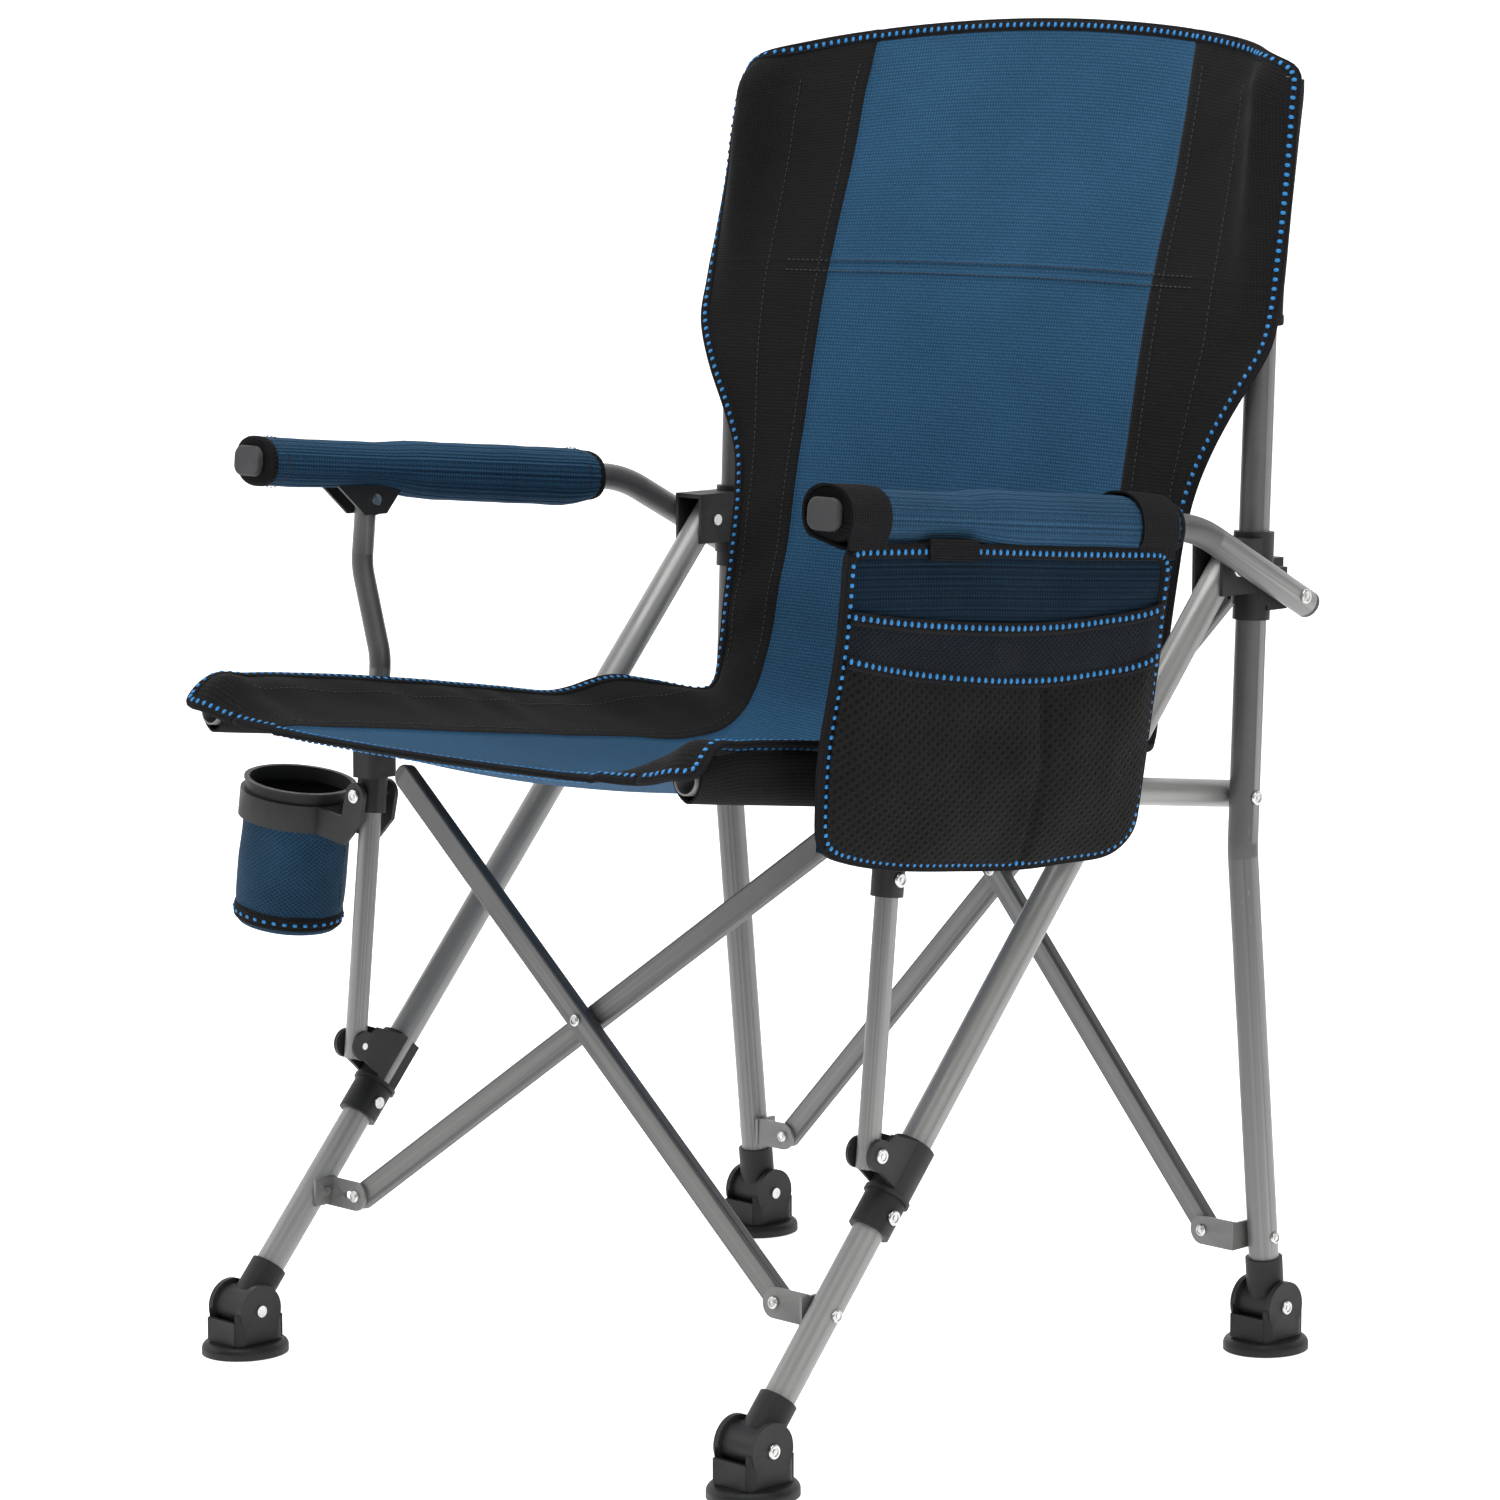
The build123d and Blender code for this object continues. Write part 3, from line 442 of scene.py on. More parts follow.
def loft(name, rings, mats, body, uv=None, caps=True):
    """Rings (n, m, 3) in mm joined into a skin, with a fan over each end when caps is true."""
    nr, m = rings.shape[:2]
    verts = rings.reshape(-1, 3)
    step = np.linalg.norm(np.diff(np.concatenate([rings, rings[:, :1]], 1), axis=1), axis=2)
    u = np.cumsum(step, axis=1) - step
    uvs = np.stack([u, run_lengths(rings, 0)], -1).reshape(-1, 2) / 1000 if uv is None else uv
    k = np.arange(nr * m).reshape(nr, m)
    r = np.roll(k, -1, axis=1)
    side = np.stack([k[:-1].ravel(), r[:-1].ravel(), r[1:].ravel(), k[1:].ravel()], 1)
    faces = [tuple(f) for f in side]
    if caps:
        for ring, order in ((0, -1), (nr - 1, 1)):
            centre = rings[ring].mean(0)
            verts = np.concatenate([verts, centre[None]])
            uvs = np.concatenate([uvs, [[0.0, 0.0]]])
            last = len(verts) - 1
            for i in range(m):
                pair = (k[ring, i], k[ring, (i + 1) % m])
                faces.append((pair[0], pair[1], last) if order > 0 else (pair[1], pair[0], last))
    return make(name, world(verts), faces, mats, body, uvs)


def path_frames(path, normals, inner):
    """Tangent, face normal and outward direction along an edge; inner is a point in the sheet."""
    t = unit(np.gradient(path, axis=0))
    n = unit(normals - (normals * t).sum(1, keepdims=True) * t)
    b = np.cross(t, n)
    middle = len(path) // 2
    if ((inner - path[middle]) * b[middle]).sum() > 0:
        b = -b
    return t, n, b


def tape(name, path, normals, inner, body, width=10.0, thick=5.0, sheet=SHEET, over=2.2):
    """Binding tape folded over an edge, swept as a soft rectangle."""
    t, n, b = path_frames(path, normals, inner)
    m = 16
    a = np.linspace(0, 2 * math.pi, m, endpoint=False)
    cx = soft_cos(a, 0.45) * width / 2
    cy = soft_sin(a, 0.6) * thick / 2
    s = lengths(path)
    ripple = 1 + 0.05 * noise(s / 9.0, s * 0 + 3.0)
    mid_b = over - width / 2
    rings = path[:, None] + b[:, None] * (mid_b + cx[None, :, None])
    rings = rings + n[:, None] * ((cy[None, :] * ripple[:, None]) - sheet / 2)[..., None]
    return loft(name, rings, [M_TAPE], body)


def stitches(name, runs, body, mat=None, period=6.8, dash=2.9, wide=4.0, tall=1.3, slant=0.0):
    """Raised thread dashes. Each run is (path, normals, sideways offset, lift, inner)."""
    verts = []
    faces = []
    m = 6
    a = np.linspace(0, 2 * math.pi, m, endpoint=False)
    prof = [(-0.5, 0.0), (-0.40, 0.72), (-0.1, 1.0), (0.2, 0.98), (0.42, 0.68), (0.5, 0.0)]
    for path, normals, offset, lift, inner in runs:
        t, n, b = path_frames(path, normals, inner)
        s = lengths(path)
        count = int(s[-1] / period)
        for i in range(count):
            q = (i + 0.5) * period
            p = read_at(s, path, q)
            j = min(int(np.searchsorted(s, q)), len(path) - 1)
            side = b[j]
            up = n[j] * (1 if lift >= 0 else -1)
            fwd = unit(t[j] + side * slant)
            across = np.cross(fwd, up)
            p = p + b[j] * offset + n[j] * lift
            first = len(verts)
            for f, k in prof:
                if k == 0:
                    verts.append(p + fwd * dash * f)
                else:
                    verts.extend(p + fwd * dash * f + across * wide / 2 * k * math.cos(x)
                                 + up * tall / 2 * k * math.sin(x) for x in a)
            for x in range(m):
                y = (x + 1) % m
                faces.append((first, first + 1 + y, first + 1 + x))
                for r in range(3):
                    o = first + 1 + r * m
                    faces.append((o + x, o + y, o + m + y, o + m + x))
                end = first + 1 + 4 * m
                faces.append((end - m + x, end - m + y, end))
    return make(name, world(np.array(verts)), faces, [mat or M_THREAD], body)


def both_faces(path, normals, inner):
    """Runs of stitches on the two faces of a binding."""
    return [(path, normals, -3.4, lift, inner) for lift in (1.6, -4.2)]


def crumple(obj):
    """Gives the piece its own copy of its mesh."""
    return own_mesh(obj)


# ---------------------------------------------------------------- the sling

# One row per station from the top of the back to the front of the seat:
# centre (y, z), then panel edge, two points across the side panel and the sling's edge, each (x, y, z).
STATIONS = [
    ((313, 965.5), (158, 303, 957), (225, 287, 947), (256, 271, 939), (276, 277, 931)),
    ((309, 950), (159, 299, 942), (229, 281, 932), (257, 256, 925), (277, 271, 916)),
    ((302, 922), (161, 291, 913), (232, 272, 904), (258, 249, 898), (279, 266, 892)),
    ((288, 866), (162, 277, 860), (233, 262, 853), (259, 245, 848), (281, 259, 845)),
    ((268, 806), (162, 258, 803), (234, 249, 800), (260, 240.5, 798), (283.5, 249, 797)),
    ((254, 764), (162, 246, 763), (232, 241, 763), (262, 238, 762), (285, 241, 762)),
    ((246, 735), (162, 239, 735), (230, 236, 735), (262, 235, 735), (283, 233, 735)),
    ((238, 704), (162, 232, 703), (218, 229, 702), (244, 227, 702), (265, 224, 701)),
    ((231, 673), (162, 226, 672), (208, 224, 671), (230, 223, 671), (247, 220.5, 671)),
    ((225, 640), (162, 219, 638), (202, 218, 637), (218, 218, 637), (231, 218, 637)),
    ((219, 606), (162, 213, 606), (200, 213, 606), (214, 213, 606), (225, 212.5, 606)),
    ((211, 560), (162, 204, 560), (200, 204, 560), (213, 204, 560), (223, 204, 560)),
    ((203, 520), (162, 194, 522), (198, 195, 521), (212, 196, 521), (222, 197, 520)),
    ((194, 487), (162, 185, 490), (198, 187, 490), (211, 189, 490), (221, 191, 489)),
    ((172, 444), (162, 168, 452), (200, 173, 455), (214, 177, 454), (224, 181, 452)),
    ((135, 416), (162, 138, 431), (205.5, 140, 445), (226, 139, 455), (243, 138, 460)),
    ((95, 410), (162, 97, 427), (208, 99, 444), (230, 99, 458), (247, 99, 467)),
    ((35, 412), (162, 36, 434), (208, 36, 447), (230, 37, 455), (247, 37, 460.5)),
    ((-20, 418), (162, -20, 440), (208, -20, 454), (230, -20, 463), (247, -20, 469)),
    ((-119, 431), (162, -119, 452), (208, -119, 467), (230, -119, 477), (248, -119, 484)),
    ((-215, 446), (162, -215, 464.5), (208, -215, 480), (231, -215, 490), (250, -215, 496)),
    ((-262, 457), (162, -262, 470), (208, -262, 484), (232, -262, 496), (252, -262, 500)),
    ((-296, 467), (162, -296, 474), (212, -296, 488), (238, -298, 499), (257, -296, 498)),
    ((-309, 472), (162, -309, 474), (214, -310, 477), (242, -312, 483), (261, -311, 483)),
]
CORNER_ROW = 14                     # the station where the back turns into the seat
SEAMS = (783.0, 775.0)              # heights of the double seam across the back
BLUE_COLS = 28                      # columns from the middle to the edge of the blue panel
HALF = BLUE_COLS + 8                # and to the cut


def station_points(row):
    c, b, m1, m2, e = row
    b = np.array(b, float)
    centre = np.array([0, c[0], c[1]], float)
    half = centre + 0.25 * (b - centre)
    half[0] = b[0] / 2
    return np.array([centre, half, b, m1, m2, e], float)


CONTROL = np.array([station_points(r) for r in STATIONS])
LINE = CONTROL[:, :3].mean(1)
STATION_S = lengths(LINE)


def seam_place(level):
    """How far down the sling a seam's height is."""
    return np.interp(level, CONTROL[:8, 2, 2][::-1], STATION_S[:8][::-1])


def sling_rows(first, last):
    """Lengths down the sling between two stations, closer together at the seams."""
    a, b = STATION_S[first], STATION_S[last]
    q = list(np.linspace(a, b, int((b - a) / 6) + 1))
    for level in SEAMS:
        at = seam_place(level)
        if a < at < b:
            q += [at - 2.4, at - 1.2, at, at + 1.2, at + 2.4]
    return np.unique(np.round(q, 3))


def wrinkle(x, s, z):
    """How far the cloth stands off its smooth shape, in mm."""
    ax = np.abs(x)
    lift = 0.9 * noise(x / 95.0, s / 130.0 + 7) + 0.45 * noise(x / 38.0 + 5, s / 60.0)
    lift = lift + 0.18 * noise(x / 13.0, s / 21.0 + 11)
    r = np.hypot(ax - 258, z - 936)
    turn = np.arctan2(936 - z, 262 - ax)
    corner = np.exp(-r / 62) * np.minimum(1, r / 26) * (z > 740)
    lift = lift + 2.6 * corner * np.abs(np.sin(turn * 6.5 + np.sign(x) * 0.7 + 1.1 * noise(x / 60, s / 60)))
    low = np.clip((640 - z) / 120, 0, 1) * np.exp(-((ax - 190) / 42) ** 2) * (s < STATION_S[CORNER_ROW])
    lift = lift + 1.5 * low * np.sin(s / 13.0 + np.sign(x) * 1.3 + 2 * noise(x / 70, s / 90))
    rail = np.exp(-((ax - 215) / 26) ** 2) * (s > STATION_S[CORNER_ROW])
    lift = lift + 1.1 * rail * np.sin(s / 10.5 + np.sign(x) + 2.2 * noise(x / 50, s / 80))
    return lift


def sling_block(first, last):
    """Both halves of the sling between two stations, as one wide grid, with its normals and UVs."""
    q = sling_rows(first, last)
    ctl = hermite(STATION_S, CONTROL.reshape(len(CONTROL), -1), q).reshape(len(q), 6, 3)
    rows = []
    for c in ctl:
        line = np.concatenate([c[1:2] * [-1, 1, 1], c])
        s = lengths(line)
        fine = hermite(s, line, np.linspace(s[1], s[-1], 260))
        fine[0, 0] = 0.0
        xs = np.maximum.accumulate(fine[:, 0])
        edge = c[5, 0]
        b = c[2, 0]
        want = np.concatenate([np.linspace(0, b, BLUE_COLS), [b + 0.6], np.linspace(b + 0.6, SPLIT, 9)[1:],
                               np.linspace(SPLIT, edge, 14)[1:]])
        rows.append(np.stack([want, np.interp(want, xs, fine[:, 1]), np.interp(want, xs, fine[:, 2])], 1))
    half = np.array(rows)
    full = np.concatenate([half[:, :0:-1] * [-1, 1, 1], half], 1)
    n = grid_normals(full)
    if n[len(q) // 2, full.shape[1] // 2, 1] > 0 and first == 0:
        n = -n
    if first > 0 and n[len(q) // 2, full.shape[1] // 2, 2] < 0:
        n = -n
    s2 = np.repeat(q[:, None], full.shape[1], 1)
    lift = wrinkle(full[..., 0], s2, full[..., 2])
    edge_fade = np.clip((np.abs(full[:, -1:, 0]) - np.abs(full[..., 0])) / 14, 0.15, 1)
    lift = lift * edge_fade
    end_fade = np.clip(np.minimum(s2 - STATION_S[0], STATION_S[-1] - s2) / 20, 0.2, 1)
    lift = lift * end_fade
    k = np.arange(full.shape[1]) - full.shape[1] // 2
    lift = lift + np.where(np.abs(k) >= BLUE_COLS, 0.8, 0.0)
    for level in SEAMS:
        at = seam_place(level)
        lift = lift + np.where(np.abs(k) < BLUE_COLS, 0.9, 0.35) * np.exp(-((s2 - at) / 1.5) ** 2)
    full = full + n * lift[..., None]
    across = run_lengths(full, 1)
    across = across - across[:, full.shape[1] // 2][:, None]
    uv = np.stack([across, s2], -1)
    return full, n, uv


def round_corner(g, row, col, r=9.0):
    """Cuts the corner of a grid to a radius by moving its points in."""
    nr, nc = g.shape[:2]
    rs = range(nr) if row == 0 else range(nr - 1, -1, -1)
    base_col = g[:, col].copy()
    inward_u = unit(g[row, col - 1 if col else 1] - g[row, col]) if col else unit(g[row, 1] - g[row, 0])
    step = 1 if row == 0 else -1
    for i in rs:
        b = np.linalg.norm(base_col[i] - base_col[row])
        if b > r * 1.3:
            break
        for j in range(nc):
            a = np.linalg.norm(g[i, j] - base_col[i])
            if a < r and b < r:
                h = math.hypot(r - a, r - b)
                if h > r:
                    k = r / h
                    da = (r - a) * (1 - k)
                    db = (r - b) * (1 - k)
                    down = unit(base_col[row + step * 3] - base_col[row])
                    g[i, j] = g[i, j] + inward_u * da + down * db
    return g


WIDE = {}
for part, first, last in (("back", 0, CORNER_ROW), ("seat", CORNER_ROW, len(STATIONS) - 1)):
    g, n, uv = sling_block(first, last)
    mc = g.shape[1] // 2
    total = g.shape[1]
    flip = grid_normals(g)[len(g) // 2, mc] @ n[len(g) // 2, mc] < 0
    rider, holder = ("_post", "_back_post") if part == "back" else ("_rail", "_seat_rail")
    body_l = "left" + rider
    lo, hi = mc - HALF, mc + HALF
    column = np.arange(lo, hi)
    tag = np.where((column >= mc - BLUE_COLS) & (column < mc + BLUE_COLS), 0, 1)[None, :]
    centre = shell("sling_%s_middle" % part, g[:, lo:hi + 1], SHEET, [M_BLUE, M_BLACK], body_l,
                   uv[:, lo:hi + 1], tag, flip)
    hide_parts("%s_fabric" % part)
    extra = []
    row = 0 if part == "back" else -1
    inner_row = 6 if part == "back" else -7
    edge_path = g[row, lo:hi + 1]
    edge_n = n[row, lo:hi + 1]
    inner = g[inner_row, mc]
    path = along(edge_path, 5.0)
    here = np.linspace(0, 1, len(path))
    there = np.linspace(0, 1, len(edge_n))
    pn = read_at(there, edge_n, here)
    band = tape("binding_%s_end" % part, path, pn, inner, body_l)
    dots = stitches("stitches_%s_end" % part, both_faces(path, pn, inner), body_l)
    for piece in (band, dots):
        extra.append(piece)
    if part == "back":
        runs = []
        for level in SEAMS:
            at = seam_place(level)
            r = int(np.argmin(np.abs(uv[:, mc, 1] - at)))
            runs.append((g[r, lo:hi + 1], n[r, lo:hi + 1], 0.0, 0.25, g[r + 8, mc]))
        seam = stitches("stitches_back_seam", runs, body_l, M_DARK_THREAD, 4.6, 3.2, 1.1, 0.8)
        extra.append(seam)
    runs = []
    for sgn in (-1, 1):
        c = mc + sgn * (BLUE_COLS + 2)
        runs.append((g[4:-4, c], n[4:-4, c], 0.0, 0.2, g[len(g) // 2, mc]))
    seam = stitches("stitches_%s_panels" % part, runs, body_l, M_DARK_THREAD, 4.6, 3.0, 1.0, 0.7)
    extra.append(seam)
    for piece in [centre] + extra:
        crumple(piece)
    for side, sgn in SIDES:
        body = side + rider
        cols = slice(hi, total) if sgn > 0 else slice(0, lo + 1)
        gs = g[:, cols].copy()
        gs = round_corner(gs, 0 if part == "back" else len(gs) - 1, gs.shape[1] - 1 if sgn > 0 else 0)
        strip = shell("sling_%s_%s" % (part, side), gs, SHEET, [M_BLACK], body, uv[:, cols], None, flip)
        ns = n[:, cols]
        if sgn < 0:
            gs, ns = gs[:, ::-1], ns[:, ::-1]
        if part == "back":
            path = np.concatenate([gs[0], gs[1:, -1]])
            pn = np.concatenate([ns[0], ns[1:, -1]])
        else:
            path = np.concatenate([gs[:, -1], gs[-1, -2::-1]])
            pn = np.concatenate([ns[:, -1], ns[-1, -2::-1]])
        inner = gs[len(gs) // 2, 2]
        s = lengths(path)
        q = np.linspace(0, s[-1], int(s[-1] / 4.5))
        path2 = read_at(s, path, q)
        for _ in range(2):
            path2[1:-1] = (path2[:-2] + 2 * path2[1:-1] + path2[2:]) / 4
        pn2 = unit(read_at(s, pn, q))
        band = tape("binding_%s_%s" % (part, side), path2, pn2, inner, body)
        dots = stitches("stitches_%s_%s" % (part, side), both_faces(path2, pn2, inner), body)
        c = 3 if part == "back" else 5
        line = gs[5:-5, c]
        seam = stitches("stitches_%s_%s_sleeve" % (part, side), [(line, ns[5:-5, c], 0.0, 0.2, inner)], body,
                        M_DARK_THREAD, 4.6, 3.0, 1.0, 0.7)
    WIDE[part] = g

# Post sleeves: the rear layer of the pocket that the post's upper end stands in.
BACK_G = WIDE["back"]
for side, sgn in SIDES:
    body = side + "_post"
    rows = []
    edge_z = BACK_G[:, -1, 2]
    for z in np.concatenate([np.linspace(752, 914, 25), [919, 924]]):
        i = int(np.argmin(np.abs(edge_z - z)))
        src = BACK_G[i] if sgn > 0 else BACK_G[i, ::-1] * [-1, 1, 1]
        e = src[-1].copy()
        e[0] = abs(e[0])
        post_y = 240 + (min(z, 775) - 390) * math.tan(math.radians(2))
        if z > 775:
            post_y = post_y + (275 - post_y) * (z - 775) / 150
        cut = HALF + src.shape[0] // 2
        join = np.interp(216, np.abs(src[cut:, 0]), src[cut:, 1])
        pts = [[e[0] - 0.5, e[1] + 1.5, z], [min(e[0] - 2, 276), post_y + 6, z],
               [262, post_y + 14.5, z], [240, post_y + 12, z], [216, join + 3.0, z]]
        rows.append(spread(pts, 16))
    g = np.array(rows)
    ss = np.arange(len(g))[:, None] * 7.0
    gather = 0.7 * np.sin(g[..., 0] / 5.5) * np.clip((ss - 110) / 60, 0, 1)
    wob = 1.1 * noise(g[..., 0] / 30.0, ss / 45.0 + 3) + gather
    wob = wob * np.clip(np.minimum(np.arange(16), 15 - np.arange(16)) / 3, 0, 1)[None]
    g[..., 1] += wob
    g = g * [sgn, 1, 1]
    want = grid_normals(g)[12, 8, 1] > 0
    back = shell("post_sleeve_%s" % side, g, 1.8, [M_BLACK], body, None, None, not want)
    hem_path = along(g[0], 4)
    rearward = np.repeat([[0.0, 1.0, 0.0]], len(hem_path), 0)
    hem = tape("post_sleeve_hem_%s" % side, hem_path, rearward, g[8, 8], body, 8.0, 3.6, 1.8, 1.0)

# Rail sleeves: loops of the side panel round the seat rail.
for side, sgn in SIDES:
    body = side + "_rail"
    for tag, y0, y1 in (("front", -300, -172), ("rear", -92, 50)):
        ys = np.linspace(y0, y1, int((y1 - y0) / 6) + 1)
        rows = []
        for y in ys:
            z = rail_z(y)
            top = np.interp(y, CONTROL[:CORNER_ROW:-1, 5, 1], CONTROL[:CORNER_ROW:-1, 5, 2])
            inz = np.interp(y, CONTROL[:CORNER_ROW:-1, 4, 1], CONTROL[:CORNER_ROW:-1, 4, 2])
            pts = [[249, y, top - 5], [254, y, z + 6], [251, y, z - 7], [RAIL_X, y, z - 15.5],
                   [230, y, z - 8], [226.5, y, z + 5], [226, y, inz - 6]]
            rows.append(spread(pts, 24))
        g = np.array(rows)
        g[..., 0] += 0.8 * noise(g[..., 0] / 14.0, g[..., 1] / 26.0, g[..., 2] / 16.0)
        g = g * [sgn, 1, 1]
        centre = np.array([sgn * RAIL_X, ys[len(ys) // 2], rail_z(ys[len(ys) // 2])])
        out = grid_normals(g)[len(ys) // 2, 10] @ (g[len(ys) // 2, 10] - centre) > 0
        loop = shell("rail_sleeve_%s_%s" % (tag, side), g, 1.7, [M_BLACK], body, None, None, not out)


# ---------------------------------------------------------------- arm pads

def pad_half(y, side):
    """Half width and half height of the padded sleeve at a place along the arm."""
    hw = 20.6 + 0.9 * np.clip((y + 150) / 30, 0, 1)
    hh = 17.6 + 2.4 * np.clip((y + 100) / 30, 0, 1)
    hh = hh - 1.6 * np.exp(-((y - 110) / 9) ** 2)
    ends = np.clip(np.minimum(y - PAD_FRONT, PAD_REAR - y) / 7, 0, 1)
    ends = np.sqrt(1 - (1 - ends) ** 2)
    puff = 1 + 0.018 * noise(y / 26.0, y * 0 + (3 if side == "left" else 8))
    return hw * (0.90 + 0.10 * ends) * puff, hh * (0.88 + 0.12 * ends) * puff


for side, sgn in SIDES:
    body = side + "_arm"
    ys = np.concatenate([np.linspace(PAD_FRONT, -206, 7), np.linspace(-203, 99, 92),
                         np.linspace(102, PAD_REAR, 7)])
    m = 96
    a = np.linspace(0, 2 * math.pi, m, endpoint=False)
    rings = []
    for y in ys:
        hw, hh = pad_half(y, side)
        cx = soft_cos(a, SQUARE)
        cz = soft_sin(a, SQUARE)
        rib = 0.30 * np.cos(a * 22)
        dent = 1.0
        if -156 < y < -78:
            dent = 1 - 0.10 * np.exp(-((y + 117) / 22) ** 2) * (np.sin(a) < -0.2)
        pucker = 0.28 * noise(a * 3.0, a * 0 + y / 17.0)
        x = (hw * cx * dent) + (rib + pucker) * np.cos(a)
        z = (hh * cz * dent) + (rib + pucker) * np.sin(a)
        sag = 3.6 * np.clip((y + 100) / 50, 0, 1) * np.clip((PAD_REAR - y) / 30, 0, 1)
        sag = sag * (np.sin(a) < 0) * -np.sin(a)
        rings.append(np.stack([sgn * (ARM_X + x), np.full(m, y), arm_z(y) + z - sag], 1))
    rings = np.array(rings)
    if sgn > 0:
        rings = rings[:, ::-1]
    turns = np.broadcast_to(np.minimum(np.arange(m), m - np.arange(m))[None] * (0.132 / m), rings.shape[:2])
    pad_uv = np.stack([turns, rings[..., 1] / 1000], -1).reshape(-1, 2)
    pad = loft("arm_pad_cover_%s" % side, rings, [M_PAD], body, pad_uv)
    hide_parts(side + "_arm_pad")
    for tag, y0, y1, grow in (("front", -218.5, -212.0, 0.4), ("rear", 107.5, 113.5, 0.2)):
        rows = []
        for y, k in ((y0, -1.6), (y0 + 0.6, 0.1), (y0 + 2, 0.7), (y1 - 2, 0.7), (y1 - 0.6, 0.3), (y1, -1.6)):
            hw, hh = pad_half(np.clip(y, -212, 108), side)
            hw, hh = hw * 0.99 + grow + k, hh * 0.99 + grow + k
            rows.append(np.stack([sgn * (ARM_X + hw * soft_cos(a, SQUARE)), np.full(m, y),
                                  arm_z(y) + hh * soft_sin(a, SQUARE)], 1))
        rows = np.array(rows)
        if sgn > 0:
            rows = rows[:, ::-1]
        ring = loft("arm_pad_binding_%s_%s" % (tag, side), rows, [M_TAPE], body)
    runs = []
    places = (-203.0, 97.0) if side == "right" else (97.0,)
    for y in places:
        hw, hh = pad_half(y, side)
        ring = np.stack([sgn * (ARM_X + (hw + 0.9) * np.cos(a)), np.full(m, y),
                         arm_z(y) + (hh + 0.9) * np.sin(a)], 1)
        out = np.stack([sgn * np.cos(a), a * 0, np.sin(a)], 1)
        runs.append((ring[::2], out[::2], 0.0, 0.1, np.array([sgn * ARM_X, y + 30, arm_z(y)])))
    seam = stitches("stitches_arm_pad_%s" % side, runs, body, M_DARK_THREAD, 4.4, 3.0, 1.1, 0.8)


# ---------------------------------------------------------------- side pocket

NR, NC = 56, 84
TOP = spread([(306, -219, 629), (306.5, -112, 622), (306.5, 0, 612), (306, 102, 604)], NC)
BOTTOM = spread([(292, -232, 430), (290, -200, 420), (290, -102, 404), (290, 9, 396), (291, 70, 402),
                 (292, 82, 412)], NC)
FRONT = spread([(306, -219, 629), (304, -226, 560), (296, -233, 490), (292, -232, 430)], NR)
REAR = spread([(306, 102, 604), (302, 95, 542), (296, 88, 466), (292, 82, 412)], NR)
v = np.linspace(0, 1, NR)[:, None, None]
u = np.linspace(0, 1, NC)[None, :, None]
coons = (1 - v) * TOP[None] + v * BOTTOM[None] + (1 - u) * FRONT[:, None] + u * REAR[:, None]
coons = coons - ((1 - u) * (1 - v) * TOP[0] + u * (1 - v) * TOP[-1]
                 + (1 - u) * v * BOTTOM[0] + u * v * BOTTOM[-1])
U = np.broadcast_to(u[..., 0], (NR, NC))
V = np.broadcast_to(v[..., 0], (NR, NC))
sides = np.clip(np.minimum(U, 1 - U), 0, 1)
limp = 3.2 * noise(U * 4.2 + 2, V * 2.6) + 1.2 * noise(U * 11.0, V * 6.0 + 4)
limp = limp * np.clip(V / 0.12, 0, 1) * np.clip(sides / 0.06, 0.25, 1)
fold = 3.0 * np.exp(-((V - 0.16 - 0.05 * np.sin(U * 4)) / 0.05) ** 2) * np.clip(sides / 0.1, 0, 1)
PANEL = coons.copy()
PANEL[..., 0] += limp + fold
PANEL[:7, 20:36, 0] = np.maximum(PANEL[:7, 20:36, 0], 306.0)
out = grid_normals(PANEL)[NR // 2, NC // 2, 0] > 0
panel = shell("pocket_panel", PANEL, 1.8, [M_RIB], "left_arm", None, None, not out)
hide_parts("pocket_back")


def panel_point(uu, vv, off):
    """A point over the pocket panel, off mm outside it."""
    i = np.clip(vv, 0, 1) * (NR - 1)
    j = np.clip(uu, 0, 1) * (NC - 1)
    i0 = np.minimum(i.astype(int), NR - 2)
    j0 = np.minimum(j.astype(int), NC - 2)
    fi = (i - i0)[..., None]
    fj = (j - j0)[..., None]
    p = (PANEL[i0, j0] * (1 - fi) * (1 - fj) + PANEL[i0 + 1, j0] * fi * (1 - fj)
         + PANEL[i0, j0 + 1] * (1 - fi) * fj + PANEL[i0 + 1, j0 + 1] * fi * fj)
    return p + np.stack([np.asarray(off, float) + 0 * uu, 0 * uu, 0 * uu], -1)


def up_line(t):
    """Upper edge of the upper net, as a share of the panel's height."""
    return 0.225 - 0.02 * t + 0.035 * np.sin(np.pi * t)


def low_line(t):
    return 0.365 + 0.005 * t + 0.045 * np.sin(np.pi * t)


def hem_line(t):
    return 0.992 + 0 * t


t = np.linspace(0.012, 0.988, 80)
for name, mat, start, end, bulge, rows in (("pocket_net_upper", M_NET_UP, up_line, low_line, 2.6, 12),
                                           ("pocket_net_lower", M_NET, low_line, hem_line, 10.0, 36)):
    w = np.linspace(0, 1, rows)[:, None]
    vv = start(t)[None] * (1 - w) + end(t)[None] * w
    uu = np.broadcast_to(t[None], vv.shape)
    belly = np.sin(np.pi * np.clip(w, 0.02, 1)) ** 0.7 * np.clip(np.minimum(uu, 1 - uu) / 0.16, 0, 1) ** 0.6
    off = 2.6 + bulge * belly + 1.6 * noise(uu * 7.0 + 3, vv * 9.0) * belly
    off = off - 2.2 * np.exp(-((uu - 0.62) / 0.012) ** 2) * (bulge > 5)
    g = panel_point(uu, vv, off)
    out = grid_normals(g)[rows // 2, 40, 0] > 0
    piece = shell(name, g, 1.2, [mat], "left_arm", None, None, not out)
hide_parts("pocket_pouch")
extra = []
border = np.concatenate([PANEL[0, ::3], PANEL[2::3, -1], PANEL[-1, ::-3], PANEL[-3::-3, 0]])
border = along(border, 5.0, False)
